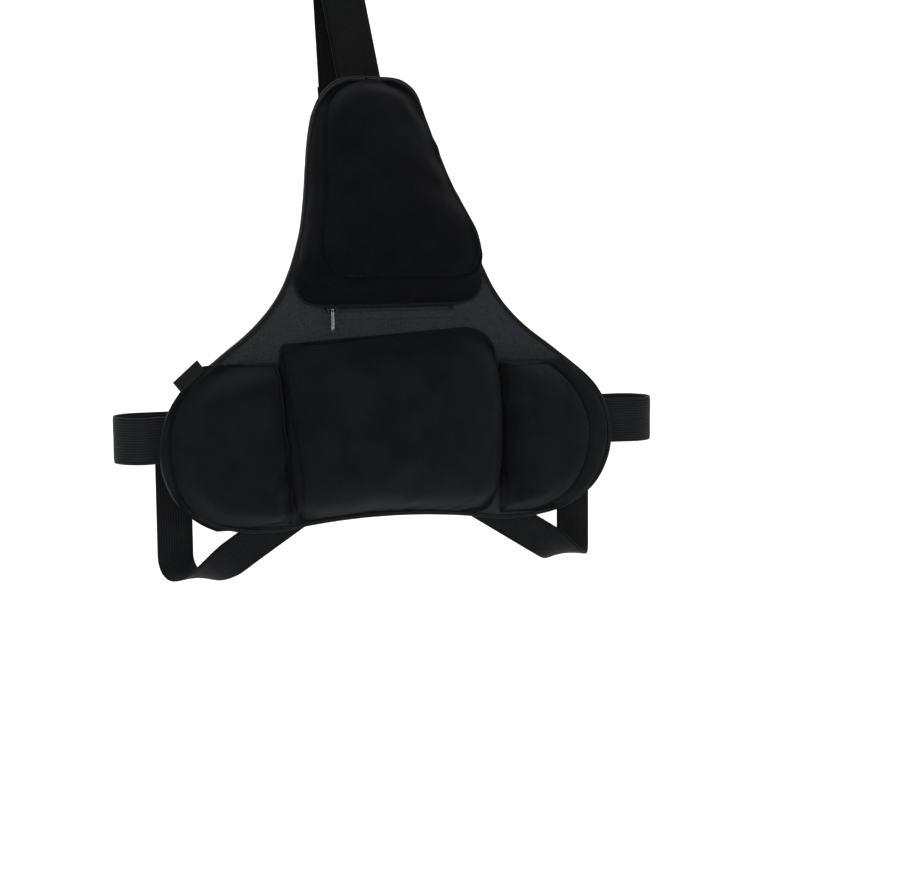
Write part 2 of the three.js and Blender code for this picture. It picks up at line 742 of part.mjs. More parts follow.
// --- Buckle and adjusters -------------------------------------------------------------------------
// Three-bar slide: x runs along the strap, z across it and y away from the backrest, from the
// strap's middle plane. The middle bar lies between the strap and its tail.
function adjusterGeometry() {
  const half = ADJUSTER.length / 2;
  const inner = WEBBING.thick / 2 + GAP;
  const tailTop = TAIL_STEP + WEBBING.thick / 2 + GAP;
  const outer = tailTop + 1.9;
  const rail = (sign) => {
    const edges = [sign * WEBBING_SLOT, sign * (WEBBING_SLOT + ADJUSTER.rail)].sort((a, b) => a - b);
    return block([-half, inner, edges[0]], [half, outer, edges[1]]);
  };
  const sideBar = (sign) => {
    const ends = [sign * half, sign * (half - ADJUSTER.overlap)].sort((a, b) => a - b);
    return block([ends[0], tailTop, -WEBBING_SLOT - 1], [ends[1], outer, WEBBING_SLOT + 1]);
  };
  const middleTop = TAIL_STEP - WEBBING.thick / 2 - GAP;
  const reach = WEBBING_SLOT + 1;
  const middle = block([-ADJUSTER.bar, inner, -reach], [ADJUSTER.bar, middleTop, reach]);
  return join([rail(-1), rail(1), sideBar(-1), sideBar(1), middle]);
}

function addAdjuster(name, at, turn) {
  const holder = new THREE.Group();
  holder.position.copy(at);
  holder.quaternion.copy(turn);
  addMesh(name, adjusterGeometry(), "plastic", holder);
  root.add(holder);
}

addAdjuster("left_adjuster", vector(LEFT_ADJUSTER_X, REAR_Y, 0), new THREE.Quaternion());
addAdjuster("right_adjuster", vector(RIGHT_ADJUSTER_X, REAR_Y, 0), new THREE.Quaternion());
const topTurn = new THREE.Quaternion().setFromRotationMatrix(
  new THREE.Matrix4().makeBasis(rearDown, rearFacing, new THREE.Vector3().crossVectors(rearDown, rearFacing)),
);
addAdjuster("top_adjuster", atHeight(TOP_ADJUSTER_Z), topTurn);

const CAVITY = { half: 20.5, y: [BUCKLE_Y[0] + 2.2, BUCKLE_Y[1] - 2.2], end: 28 };
const PRONG_Y = [CAVITY.y[0] + 0.6, CAVITY.y[1] - 0.6];

// Socket: a flat box open towards the plug, with a window each side and a slot for the webbing.
function buckleSocket() {
  const shell = block([0, BUCKLE_Y[0], -BUCKLE_HALF], [SOCKET.length, BUCKLE_Y[1], BUCKLE_HALF]);
  const cavity = block([-1, CAVITY.y[0], -CAVITY.half], [CAVITY.end, CAVITY.y[1], CAVITY.half]);
  const windows = block([11, CAVITY.y[0], -BUCKLE_HALF - 1], [24, CAVITY.y[1], BUCKLE_HALF + 1]);
  const slot = block([30, BUCKLE_Y[0] - 1, -WEBBING_SLOT], [32.5, BUCKLE_Y[1] + 1, WEBBING_SLOT]);
  return cut(shell, [cavity, windows, slot]).translate(BUCKLE_X, 0, 0);
}

// Plug: a slotted base, a centre guide and two latch arms.
function bucklePlug() {
  const base = block([PLUG.base[0], BUCKLE_Y[0], -BUCKLE_HALF], [PLUG.base[1], BUCKLE_Y[1], BUCKLE_HALF]);
  const guide = block([PLUG.base[1] - 1, PRONG_Y[0], -3], [PLUG.prongEnd, PRONG_Y[1], 3]);
  const arm = (sign) => {
    const outline = new THREE.Shape();
    outline.moveTo(PLUG.base[1] - 1, 11);
    outline.lineTo(PLUG.prongEnd - 5, 14);
    outline.lineTo(PLUG.prongEnd, 16);
    outline.lineTo(PLUG.prongEnd - 2, 19.6);
    outline.lineTo(12.5, 19.9);
    outline.lineTo(12, 18);
    outline.lineTo(PLUG.base[1] - 1, 15.5);
    outline.closePath();
    const bar = new THREE.ExtrudeGeometry(outline, { depth: PRONG_Y[1] - PRONG_Y[0], bevelEnabled: false });
    // The outline's second axis becomes -Z or +Z, and its depth runs along Y.
    if (sign > 0) bar.rotateX(Math.PI / 2).translate(0, PRONG_Y[1], 0);
    else bar.rotateX(-Math.PI / 2).translate(0, PRONG_Y[0], 0);
    return bar;
  };
  const slot = block([-18.5, BUCKLE_Y[0] - 1, -WEBBING_SLOT], [-16, BUCKLE_Y[1] + 1, WEBBING_SLOT]);
  return cut(join([base, guide, arm(-1), arm(1)]), [slot]).translate(BUCKLE_X, 0, 0);
}

addMesh("buckle_socket", buckleSocket(), "plastic");
addMesh("buckle_plug", bucklePlug(), "plastic");

export default root;
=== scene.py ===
"""Lumbar support cushion: fabric, foam pads, webbing, zip and hardware dressed over the CAD frame."""

import math

import bpy
import numpy as np
from mathutils import Matrix, Vector, noise
from mathutils.bvhtree import BVHTree
from mathutils.kdtree import KDTree


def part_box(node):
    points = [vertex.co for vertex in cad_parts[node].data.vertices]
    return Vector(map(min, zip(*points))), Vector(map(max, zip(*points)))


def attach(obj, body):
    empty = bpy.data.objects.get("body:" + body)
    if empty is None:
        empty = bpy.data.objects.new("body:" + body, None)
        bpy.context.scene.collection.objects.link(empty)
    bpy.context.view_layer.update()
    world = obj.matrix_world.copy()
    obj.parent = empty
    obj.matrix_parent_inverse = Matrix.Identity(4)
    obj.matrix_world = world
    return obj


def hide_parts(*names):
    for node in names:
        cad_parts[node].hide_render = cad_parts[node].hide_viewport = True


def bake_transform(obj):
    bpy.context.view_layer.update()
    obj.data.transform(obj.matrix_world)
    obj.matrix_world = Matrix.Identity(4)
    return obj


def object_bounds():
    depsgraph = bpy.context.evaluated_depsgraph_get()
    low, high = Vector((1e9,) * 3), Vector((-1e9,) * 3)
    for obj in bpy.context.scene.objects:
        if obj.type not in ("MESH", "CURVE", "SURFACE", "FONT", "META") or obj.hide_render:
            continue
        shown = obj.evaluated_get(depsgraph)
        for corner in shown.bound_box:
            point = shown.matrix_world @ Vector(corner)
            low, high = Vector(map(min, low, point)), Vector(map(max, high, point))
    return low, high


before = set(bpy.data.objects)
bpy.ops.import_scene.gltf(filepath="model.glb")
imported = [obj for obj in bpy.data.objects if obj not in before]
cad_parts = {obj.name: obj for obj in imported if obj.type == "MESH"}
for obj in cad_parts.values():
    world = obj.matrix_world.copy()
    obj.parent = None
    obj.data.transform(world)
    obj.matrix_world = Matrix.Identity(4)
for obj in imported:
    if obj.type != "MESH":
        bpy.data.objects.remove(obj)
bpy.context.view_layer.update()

MM = 0.001

# --- The cushion's worn shape, as in the frame ------------------------------------------------------
# The back panel is flat in the middle, wraps forward at the wings and leans back above the zip.
FLAT_HALF = 60 * MM
WRAP_RADIUS = 800 * MM
LEAN_START = 106 * MM
LEAN_RADIUS = 200 * MM
LEAN = math.radians(18)
SWAY = -4.5 * MM
SWAY_HEIGHTS = (160 * MM, 255 * MM)
SWAY_END = (262 * MM, 300 * MM)
SWAY_KEPT = 0.1


def smoothstep(value, ends):
    """0 to 1 between two ends, easing in and out."""
    share = np.clip((np.asarray(value, float) - ends[0]) / (ends[1] - ends[0]), 0, 1)
    return share**2 * (3 - 2 * share)


def sway(s):
    """How far the panel and its upper pad are drawn aside at each height of the flat pattern."""
    return SWAY * smoothstep(s, SWAY_HEIGHTS) * (1 - (1 - SWAY_KEPT) * smoothstep(s, SWAY_END))


def bend(u, s, d):
    """Flat pattern coordinates (across, up, forward) to the worn shape, as arrays of x, y, z."""
    u, s, d = (np.asarray(v, float) for v in (u, s, d))
    wrap = np.maximum(np.abs(u) - FLAT_HALF, 0) / WRAP_RADIUS
    across = np.minimum(np.abs(u), FLAT_HALF) + (WRAP_RADIUS - d) * np.sin(wrap)
    forward = WRAP_RADIUS - (WRAP_RADIUS - d) * np.cos(wrap)
    angle = np.clip((s - LEAN_START) / LEAN_RADIUS, 0, LEAN)
    beyond = np.maximum(s - LEAN_START - LEAN_RADIUS * LEAN, 0)
    back = LEAN_RADIUS * (1 - np.cos(angle)) + beyond * np.sin(angle)
    up = np.minimum(s, LEAN_START) + LEAN_RADIUS * np.sin(angle) + beyond * np.cos(angle)
    x = np.sign(u) * across + sway(s)
    return np.stack([x, back - forward * np.cos(angle), up + forward * np.sin(angle)], -1)


def unbend(points):
    """The worn shape back to flat pattern coordinates."""
    x, y, z = np.asarray(points, float).T
    turned = np.arctan2(z - LEAN_START, LEAN_RADIUS - y)
    angle = np.clip(turned, 0, LEAN)
    arc_y = LEAN_RADIUS * (1 - np.cos(angle))
    arc_z = LEAN_START + LEAN_RADIUS * np.sin(angle)
    along = (y - arc_y) * np.sin(angle) + (z - arc_z) * np.cos(angle)
    forward = -(y - arc_y) * np.cos(angle) + (z - arc_z) * np.sin(angle)
    s = LEAN_START + LEAN_RADIUS * angle + along
    x = x - sway(s)
    wrap = np.where(np.abs(x) > FLAT_HALF, np.arctan2(np.abs(x) - FLAT_HALF, WRAP_RADIUS - forward), 0)
    u = np.where(wrap > 0, np.sign(x) * (FLAT_HALF + WRAP_RADIUS * wrap), x)
    reach = np.hypot(np.maximum(np.abs(x) - FLAT_HALF, 0), WRAP_RADIUS - forward)
    d = np.where(wrap > 0, WRAP_RADIUS - reach, forward)
    return np.stack([u, s, d], -1)


# --- Camera, floor and light ------------------------------------------------------------------------
VIEW_AZIMUTH = math.radians(-16)
VIEW_ELEVATION = math.radians(3)
VIEW_DISTANCE = 1.5934
VIEW_TARGET = Vector((0, 0, 0.1))
YAW_RIGHT = math.radians(1.848)
PITCH_DOWN = math.radians(3.828)
ROLL = math.radians(0.594)
LENS = 76.0


def add_camera():
    """The viewpoint: turned round the cushion, then aimed a little right and down."""
    towards = Vector(
        (
            math.sin(VIEW_AZIMUTH) * math.cos(VIEW_ELEVATION),
            -math.cos(VIEW_AZIMUTH) * math.cos(VIEW_ELEVATION),
            math.sin(VIEW_ELEVATION),
        )
    )
    ahead = -towards
    right = ahead.cross(Vector((0, 0, 1))).normalized()
    up = right.cross(ahead)
    base = Matrix((right, up, towards)).transposed()
    aim = Matrix.Rotation(-YAW_RIGHT, 3, "Y") @ Matrix.Rotation(-PITCH_DOWN, 3, "X")
    aim = aim @ Matrix.Rotation(-ROLL, 3, "Z")
    data = bpy.data.cameras.new("camera")
    data.lens = LENS
    data.sensor_width = 36
    camera = link(bpy.data.objects.new("camera", data))
    camera.matrix_world = Matrix.Translation(VIEW_TARGET + towards * VIEW_DISTANCE) @ (base @ aim).to_4x4()
    bpy.context.scene.camera = camera


def link(obj):
    bpy.context.scene.collection.objects.link(obj)
    return obj


def add_area(name, place, target, size, watts):
    data = bpy.data.lights.new(name, "AREA")
    data.shape = "RECTANGLE"
    data.size, data.size_y = size
    data.energy = watts
    lamp = link(bpy.data.objects.new(name, data))
    lamp.location = place
    lamp.rotation_euler = (Vector(target) - Vector(place)).to_track_quat("-Z", "Y").to_euler()


def add_stage():
    """A pale floor that sweeps up behind, and soft white light all round."""
    low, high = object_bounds()
    floor_z = low.z - 0.85
    back_y = high.y + 2.2
    half_width, front_y, top_z, radius = 6.0, -6.0, 4.5, 1.2
    profile = [(front_y, floor_z), (back_y - radius, floor_z)]
    for step in range(1, 13):
        angle = math.pi / 2 * step / 12
        profile.append(
            (back_y - radius + radius * math.sin(angle), floor_z + radius * (1 - math.cos(angle)))
        )
    profile.append((back_y, top_z))
    verts = [(side * half_width, y, z) for y, z in profile for side in (-1, 1)]
    faces = [(2 * i, 2 * i + 1, 2 * i + 3, 2 * i + 2) for i in range(len(profile) - 1)]
    mesh = bpy.data.meshes.new("floor")
    mesh.from_pydata(verts, [], faces)
    for polygon in mesh.polygons:
        polygon.use_smooth = True
    floor = link(bpy.data.objects.new("floor", mesh))
    paint = bpy.data.materials.new("floor_white")
    paint.use_nodes = True
    shader = paint.node_tree.nodes["Principled BSDF"]
    shader.inputs["Base Color"].default_value = (0.93, 0.93, 0.93, 1)
    shader.inputs["Roughness"].default_value = 0.9
    mesh.materials.append(paint)
    world = bpy.data.worlds.new("studio")
    bpy.context.scene.world = world
    world.use_nodes = True
    world.node_tree.nodes["Background"].inputs["Color"].default_value = (1, 1, 1, 1)
    world.node_tree.nodes["Background"].inputs["Strength"].default_value = 0.4
    add_area("key", (-0.3, -2.8, 0.7), (0, 0, 0.05), (1.4, 1.4), 30)
    add_area("fill", (-2.2, -1.9, 0.3), (0, 0, 0.05), (1.6, 1.6), 20)
    add_area("side", (2.3, -0.3, 0.6), (0, 0, 0.05), (1.4, 1.4), 8)
    add_area("rear", (0.6, 2.0, 1.7), (0, 0, 0.1), (1.8, 1.2), 30)
    add_area("wash", (0, 0.8, 3.2), (0, 2.4, 0.0), (4.0, 2.0), 120)
    bpy.context.scene.view_settings.view_transform = "Standard"


# --- Materials --------------------------------------------------------------------------------------
class Shade:
    """A material's node tree with short ways to add and join nodes."""

    def __init__(self, name, rough, metal=0.0, sheen=0.0, specular=0.5):
        self.material = bpy.data.materials.new(name)
        self.material.use_nodes = True
        self.nodes = self.material.node_tree.nodes
        self.links = self.material.node_tree.links
        self.shader = self.nodes["Principled BSDF"]
        self.shader.inputs["Roughness"].default_value = rough
        self.shader.inputs["Metallic"].default_value = metal
        self.shader.inputs["Specular IOR Level"].default_value = specular
        if sheen:
            self.shader.inputs["Sheen Weight"].default_value = sheen
            self.shader.inputs["Sheen Roughness"].default_value = 0.5

    def add(self, kind, **values):
        node = self.nodes.new(kind)
        for key, value in values.items():
            if key in node.inputs:
                node.inputs[key].default_value = value
            else:
                setattr(node, key, value)
        return node

    def join(self, source, target):
        self.links.new(source, target)

    def math(self, operation, *terms):
        node = self.add("ShaderNodeMath", operation=operation)
        for i, term in enumerate(terms):
            if hasattr(term, "links"):
                self.join(term, node.inputs[i])
            else:
                node.inputs[i].default_value = term
        return node.outputs[0]

    def pattern_axes(self):
        """The flat pattern's coordinates in millimetres, across and along the cloth."""
        uv = self.add("ShaderNodeUVMap", uv_map="pattern")
        split = self.add("ShaderNodeSeparateXYZ")
        self.join(uv.outputs[0], split.inputs[0])
        return split.outputs[0], split.outputs[1]

    def pattern(self):
        return self.add("ShaderNodeUVMap", uv_map="pattern").outputs[0]

    def place(self):
        """Object coordinates in millimetres."""
        where = self.add("ShaderNodeTexCoord")
        scale = self.add("ShaderNodeVectorMath", operation="SCALE")
        self.join(where.outputs["Object"], scale.inputs[0])
        scale.inputs["Scale"].default_value = 1000
        return scale.outputs[0]

    def noise(self, vector, scale, detail=3.0, rough=0.55):
        node = self.add("ShaderNodeTexNoise", Scale=scale, Detail=detail, Roughness=rough)
        self.join(vector, node.inputs["Vector"])
        return node.outputs["Fac"]

    def stretch(self, vector, factors):
        node = self.add("ShaderNodeVectorMath", operation="MULTIPLY")
        self.join(vector, node.inputs[0])
        node.inputs[1].default_value = factors
        return node.outputs[0]

    def cells(self, vector, scale):
        node = self.add("ShaderNodeTexVoronoi", Scale=scale)
        self.join(vector, node.inputs["Vector"])
        return node.outputs["Distance"]

    def wave(self, coordinate, pitch, phase=0.0):
        """0 to 1 and back once every pitch along the coordinate."""
        turns = self.math("MULTIPLY_ADD", coordinate, 2 * math.pi / pitch, phase)
        return self.math("MULTIPLY_ADD", self.math("SINE", turns), 0.5, 0.5)

    def span(self, source, low, high, to_low=0.0, to_high=1.0):
        node = self.add("ShaderNodeMapRange", clamp=True)
        for i, v in enumerate((low, high, to_low, to_high)):
            node.inputs[i + 1].default_value = v
        self.join(source, node.inputs[0])
        return node.outputs[0]

    def mix(self, factor, first, second):
        node = self.add("ShaderNodeMix", data_type="RGBA")
        for index, colour in ((6, first), (7, second)):
            if hasattr(colour, "links"):
                self.join(colour, node.inputs[index])
            else:
                node.inputs[index].default_value = (*colour, 1)
        if hasattr(factor, "links"):
            self.join(factor, node.inputs[0])
        else:
            node.inputs[0].default_value = factor
        return node.outputs[2]

    def colour(self, source):
        self.join(source, self.shader.inputs["Base Color"])

    def roughness(self, source):
        self.join(source, self.shader.inputs["Roughness"])

    def bump(self, height, depth_mm):
        node = self.add("ShaderNodeBump", Strength=1.0, Distance=depth_mm * MM)
        self.join(height, node.inputs["Height"])
        self.join(node.outputs[0], self.shader.inputs["Normal"])

    def attribute(self, name):
        return self.add("ShaderNodeAttribute", attribute_name=name).outputs["Fac"]


def grey(value, blue=0.0):
    """A near-neutral linear colour, a little bluer where asked."""
    return (value, value * (1 + 0.35 * blue), value * (1 + blue))


def pad_fabric(name, tone):
    """Black knitted polyester: fine wales and courses, slubs, and a soft sheen."""
    # tone scales the colours, sheen and specular; below 1 it is painted shade, for a pad that leans back
    # into the light.
    m = Shade(name, 0.88, sheen=0.02 * tone, specular=0.06 * tone)
    across, along = m.pattern_axes()
    at = m.pattern()
    wales = m.wave(across, 1.05)
    courses = m.wave(m.math("ADD", along, m.math("MULTIPLY", wales, 0.35)), 0.85)
    loops = m.math("MULTIPLY", wales, courses)
    slub = m.noise(at, 0.9, 2.0)
    cloudy = m.noise(m.place(), 0.035, 3.0)
    height = m.math("ADD", loops, m.math("MULTIPLY", slub, 0.7))
    seam_shade = m.attribute("seam_shade")
    dark, light = grey(0.0024 * tone, 0.3), grey(0.0066 * tone, 0.42)
    worn = m.mix(m.span(m.math("ADD", loops, m.math("MULTIPLY", slub, 0.6)), 0.25, 1.25), dark, light)
    clouded = m.mix(m.span(cloudy, 0.35, 0.7), worn, m.mix(0.3, worn, grey(0.0095 * tone, 0.5)))
    # Darker along the face seams: painted shade in the sewn grooves.
    m.colour(m.mix(m.math("MULTIPLY", seam_shade, 0.55), clouded, grey(0.0012, 0.1)))
    m.roughness(m.span(slub, 0.2, 0.8, 0.8, 0.95))
    m.bump(height, 0.16)
    return m.material


def mesh_fabric():
    """Charcoal heathered spacer mesh: pale and dark yarns over a lattice of small holes."""
    m = Shade("mesh_fabric", 0.72, sheen=0.06, specular=0.16)
    at = m.pattern()
    across, along = m.pattern_axes()
    holes = m.cells(at, 0.62)
    open_mesh = m.span(holes, 0.12, 0.42)
    yarn = m.noise(at, 1.6, 4.0, 0.7)
    drift = m.noise(at, 0.05, 2.0)
    streak = m.noise(m.stretch(at, (1.0, 0.22, 1.0)), 0.8, 3.0)
    base = m.mix(m.span(yarn, 0.34, 0.68), grey(0.008, 0.3), grey(0.024, 0.36))
    heather = m.mix(m.span(streak, 0.4, 0.75), base, grey(0.021, 0.36))
    toned = m.mix(m.span(drift, 0.3, 0.75, 0.0, 0.35), heather, grey(0.0115, 0.3))
    m.colour(m.mix(open_mesh, grey(0.005, 0.12), toned))
    m.roughness(m.span(yarn, 0.2, 0.8, 0.68, 0.9))
    ribs = m.wave(across, 1.3)
    m.bump(m.math("ADD", open_mesh, m.math("MULTIPLY", m.math("ADD", yarn, ribs), 0.25)), 0.3)
    return m.material


def webbing_fabric(name, tone, specular, width):
    """Ribbed webbing: cords running along the strap, short slanting picks, and firm selvedges."""
    m = Shade(name, 0.66, sheen=0.03, specular=specular)
    across, along = m.pattern_axes()
    at = m.pattern()
    cord = m.wave(across, 2.1)
    pick = m.wave(m.math("ADD", along, m.math("MULTIPLY", m.math("PINGPONG", across, 4.2), 0.5)), 1.5)
    weave = m.math("MULTIPLY_ADD", m.math("MULTIPLY", cord, pick), 0.45, m.math("MULTIPLY", cord, 0.65))
    fuzz = m.noise(at, 1.8, 4.0, 0.7)
    drift = m.noise(at, 0.05, 2.0)
    height = m.math("ADD", weave, m.math("MULTIPLY", fuzz, 0.3))
    dark, light = grey(tone * 0.4, 0.2), grey(tone * 1.55, 0.24)
    threads = m.mix(m.span(height, 0.2, 1.1), dark, light)
    toned = m.mix(m.span(drift, 0.35, 0.75, 0.0, 0.4), threads, grey(tone * 1.5, 0.2))
    half = width / 2 / MM
    selvedge = m.span(m.math("ABSOLUTE", across), half - 2.6, half - 2.0)
    m.colour(m.mix(m.math("MULTIPLY", selvedge, 0.6), toned, grey(tone * 0.35, 0.2)))
    m.roughness(m.span(fuzz, 0.2, 0.8, 0.56, 0.82))
    m.bump(height, 0.42)
    return m.material


def tape_fabric():
    """Grosgrain tape: close ribs across its length."""
    m = Shade("tape_fabric", 0.74, sheen=0.03, specular=0.1)
    across, along = m.pattern_axes()
    rib = m.wave(along, 0.95)
    fuzz = m.noise(m.pattern(), 1.5, 3.0, 0.65)
    height = m.math("ADD", rib, m.math("MULTIPLY", fuzz, 0.5))
    m.colour(m.mix(m.span(height, 0.3, 1.3), grey(0.003, 0.12), grey(0.008, 0.14)))
    m.roughness(m.span(fuzz, 0.2, 0.8, 0.62, 0.85))
    m.bump(height, 0.2)
    return m.material


def fine_grain(name, rough, scale, tones, roughness, depth, **finish):
    """A plain material with one fine grain through its colour, roughness and relief."""
    m = Shade(name, rough, **finish)
    grain = m.noise(m.place(), scale, 3.0)
    m.colour(m.mix(m.span(grain, 0.3, 0.7), *tones))
    m.roughness(m.span(grain, 0.3, 0.7, *roughness))
    m.bump(grain, depth)
    return m.material


def moulded_plastic():
    """Black acetal: fine spark texture, faint flow marks and handling wear."""
    m = Shade("moulded_plastic", 0.42, specular=0.38)
    place = m.place()
    grain = m.noise(place, 3.2, 4.0, 0.6)
    flow = m.noise(place, 0.09, 3.0)
    scuff = m.noise(place, 0.5, 5.0, 0.75)
    body = m.mix(m.span(flow, 0.3, 0.75), grey(0.0085, 0.05), grey(0.016, 0.08))
    m.colour(m.mix(m.span(scuff, 0.6, 0.78, 0.0, 0.5), body, grey(0.032, 0.08)))
    m.roughness(m.span(m.math("ADD", grain, scuff), 0.7, 1.3, 0.34, 0.56))
    m.bump(m.math("ADD", grain, m.math("MULTIPLY", scuff, 0.4)), 0.05)
    return m.material


def plated_metal(name, bright, dulled):
    """Plated zip metal with fine scratches and a little dulling."""
    m = Shade(name, 0.24, metal=1.0)
    place = m.place()
    scratch = m.noise(m.stretch(place, (6.0, 1.0, 0.5)), 1.6, 4.0)
    dull = m.noise(place, 0.5, 3.0)
    m.colour(m.mix(m.span(dull, 0.35, 0.7), grey(bright, 0.05), grey(dulled, 0.08)))
    m.roughness(m.span(m.math("ADD", scratch, dull), 0.7, 1.3, 0.16, 0.38))
    m.bump(scratch, 0.03)
    return m.material


def label_satin():
    """Black satin tab: fine warp and weft with slubs."""
    m = Shade("label_satin", 0.36, specular=0.08)
    across, along = m.pattern_axes()
    warp = m.wave(across, 0.5)
    weft = m.wave(along, 0.7)
    slub = m.noise(m.pattern(), 1.2, 3.0)
    height = m.math("ADD", m.math("MULTIPLY", warp, weft), m.math("MULTIPLY", slub, 0.5))
    m.colour(m.mix(m.span(height, 0.2, 1.0), grey(0.005, 0.1), grey(0.012, 0.12)))
    m.roughness(m.span(slub, 0.2, 0.8, 0.26, 0.46))
    m.bump(height, 0.08)
    return m.material


def board_sheet():
    """Grey polyethylene stiffening sheet."""
    m = Shade("board_sheet", 0.5)
    place = m.place()
    grain = m.noise(place, 0.8, 4.0)
    m.colour(m.mix(grain, grey(0.03), grey(0.05)))
    m.roughness(m.span(grain, 0.3, 0.7, 0.42, 0.6))
    m.bump(grain, 0.06)
    return m.material


# --- Mesh helpers -----------------------------------------------------------------------------------
def make_object(name, verts, faces, uvs, material):
    """uvs gives one list of corner coordinates, in millimetres, for each face."""
    mesh = bpy.data.meshes.new(name)
    mesh.from_pydata([tuple(v) for v in verts], [], faces)
    layer = mesh.uv_layers.new(name="pattern")
    flat = [c for corners in uvs for c in corners]
    layer.data.foreach_set("uv", np.asarray(flat, float).ravel())
    mesh.polygons.foreach_set("use_smooth", [True] * len(mesh.polygons))
    mesh.materials.append(material)
    mesh.update()
    return link(bpy.data.objects.new(name, mesh))


def no_pattern(faces):
    """Pattern coordinates for a piece whose material doesn't use them."""
    return [[(0, 0)] * len(face) for face in faces]


def dress(obj, body, slot, *nodes):
    """The body a piece rides, and the frame nodes it stands for; the slot argument is not used."""
    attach(obj, body)
    if nodes:
        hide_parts(*nodes)


def travel(points):
    """How far along a polyline each of its points is."""
    return np.r_[0, np.cumsum(np.linalg.norm(np.diff(points, axis=0), axis=1))]


def read_along(wanted, step, values):
    """Values known at some distances, read at others."""
    return np.stack([np.interp(wanted, step, column) for column in values.T], -1)


def unit(vectors):
    return vectors / np.linalg.norm(vectors, axis=-1, keepdims=True)


def ripple(first, second, scales, third):
    """Smooth noise over two coordinates, from about -1 to 1."""
    places = zip(first * scales[0], second * scales[1])
    return np.array([noise.noise(Vector((a, b, third))) for a, b in places])


class Lattice:
    """The surface of a box of nx by ny by nz cells with shared corners, faces outward.

    x runs across, y from the front (0) to the rear (ny), z up."""

    def __init__(self, nx, ny, nz):
        self.size = (nx, ny, nz)
        self.index = {}
        self.faces = []
        self.walls = []
        for k in range(nz + 1):
            for i in range(nx + 1):
                for j in (0, ny):
                    self._corner(i, j, k)
        self._sheet("front", nx, nz, lambda a, b: (a, 0, b), False)
        self._sheet("rear", nx, nz, lambda a, b: (a, ny, b), True)
        self._sheet("left", ny, nz, lambda a, b: (0, a, b), True)
        self._sheet("right", ny, nz, lambda a, b: (nx, a, b), False)
        self._sheet("bottom", nx, ny, lambda a, b: (a, b, 0), True)
        self._sheet("top", nx, ny, lambda a, b: (a, b, nz), False)
        self.corners = np.array(list(self.index), float)

    def _corner(self, *key):
        return self.index.setdefault(key, len(self.index))

    def _sheet(self, wall, na, nb, at, flip):
        for a in range(na):
            for b in range(nb):
                ring = [at(a, b), at(a + 1, b), at(a + 1, b + 1), at(a, b + 1)]
                if flip:
                    ring.reverse()
                self.faces.append([self._corner(*c) for c in ring])
                self.walls.append(wall)

    def shares(self):
        """Each corner's place from 0 to 1 along the three axes."""
        return self.corners / np.array(self.size)

    def uvs(self, flat, side=(1, 2), end=(0, 2)):
        """Corner coordinates in millimetres: flat is each corner's (u, s, d), and side and end say which
        two of them run over the side walls and over the bottom and top."""
        axes = {"front": (0, 1), "rear": (0, 1), "left": side, "right": side, "bottom": end, "top": end}
        return [
            [tuple(flat[i][list(axes[wall])] / MM) for i in face]
            for face, wall in zip(self.faces, self.walls)
        ]


def cubic_chain(points, values):
    """Catmull-Rom through points at the given parameters, 0 to len(points) - 1."""
    points = np.asarray(points, float)
    last = len(points) - 1
    i = np.clip(values.astype(int), 0, last - 1)
    t = (values - i)[:, None]
    p0, p1 = points[np.maximum(i - 1, 0)], points[i]
    p2, p3 = points[i + 1], points[np.minimum(i + 2, last)]
    return 0.5 * (
        2 * p1
        + (p2 - p0) * t
        + (2 * p0 - 5 * p1 + 4 * p2 - p3) * t**2
        + (3 * p1 - p0 - 3 * p2 + p3) * t**3
    )


def even_chain(points, count):
    """count + 1 points at even distances along a smooth chain through points."""
    fine = cubic_chain(points, np.linspace(0, len(points) - 1, 40 * len(points)))
    step = travel(fine)
    return read_along(np.linspace(0, step[-1], count + 1), step, fine)


def node_mesh(node):
    """A CAD node's corners in flat coordinates, and its triangles."""
    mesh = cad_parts[node].data
    return unbend(points_of(mesh)), [tuple(p.vertices) for p in mesh.polygons]


ARCH_RISE = 8 * MM
ARCH_HALF = 95 * MM
ARCH_FADE = (-78 * MM, -30 * MM)


def arch_at(u, s):
    """How far the pattern's bottom edge is lifted in the middle."""
    reach = np.clip(1 - (u / ARCH_HALF) ** 2, 0, 1)
    fade = np.clip((ARCH_FADE[1] - s) / (ARCH_FADE[1] - ARCH_FADE[0]), 0, 1)
    return ARCH_RISE * reach * fade


def place(u, s, d):
    """A place on the flat pattern, its bottom edge not yet arched, to the worn shape."""
    return bend(u, s + arch_at(u, s), d)


def without_arch(loop):
    """The same loop of (u, s) before the bottom edge was arched."""
    u, lifted = loop.T
    s = lifted.copy()
    for _ in range(30):
        s = lifted - arch_at(u, s)
    return np.stack([u, s], -1)


def rim_of(node, front):
    """The outer outline of a node's frontmost or rearmost face, as a loop of (u, s)."""
    flat, faces = node_mesh(node)
    key = np.round(flat / (0.02 * MM)).astype(int)
    welded = {}
    same = [welded.setdefault(tuple(k), i) for i, k in enumerate(key)]
    depth = flat[:, 2]
    level = depth.max() if front else depth.min()
    near = np.abs(depth - level) < 0.25 * MM
    edges = set()
    for face in faces:
        if not all(near[i] for i in face):
            continue
        ring = [same[i] for i in face]
        for a, b in zip(ring, ring[1:] + ring[:1]):
            if (b, a) in edges:
                edges.remove((b, a))
            else:
                edges.add((a, b))
    follow = {}
    for a, b in sorted(edges):
        follow.setdefault(a, []).append(b)
    loops = []
    while follow:
        loop = [next(iter(follow))]
        while loop[-1] in follow:
            options = follow[loop[-1]]
            step = options.pop()
            if not options:
                del follow[loop[-1]]
            if step == loop[0]:
                break
            loop.append(step)
        loops.append(flat[loop][:, :2])
    return without_arch(max(loops, key=lambda loop: np.ptp(loop[:, 0]) + np.ptp(loop[:, 1])))


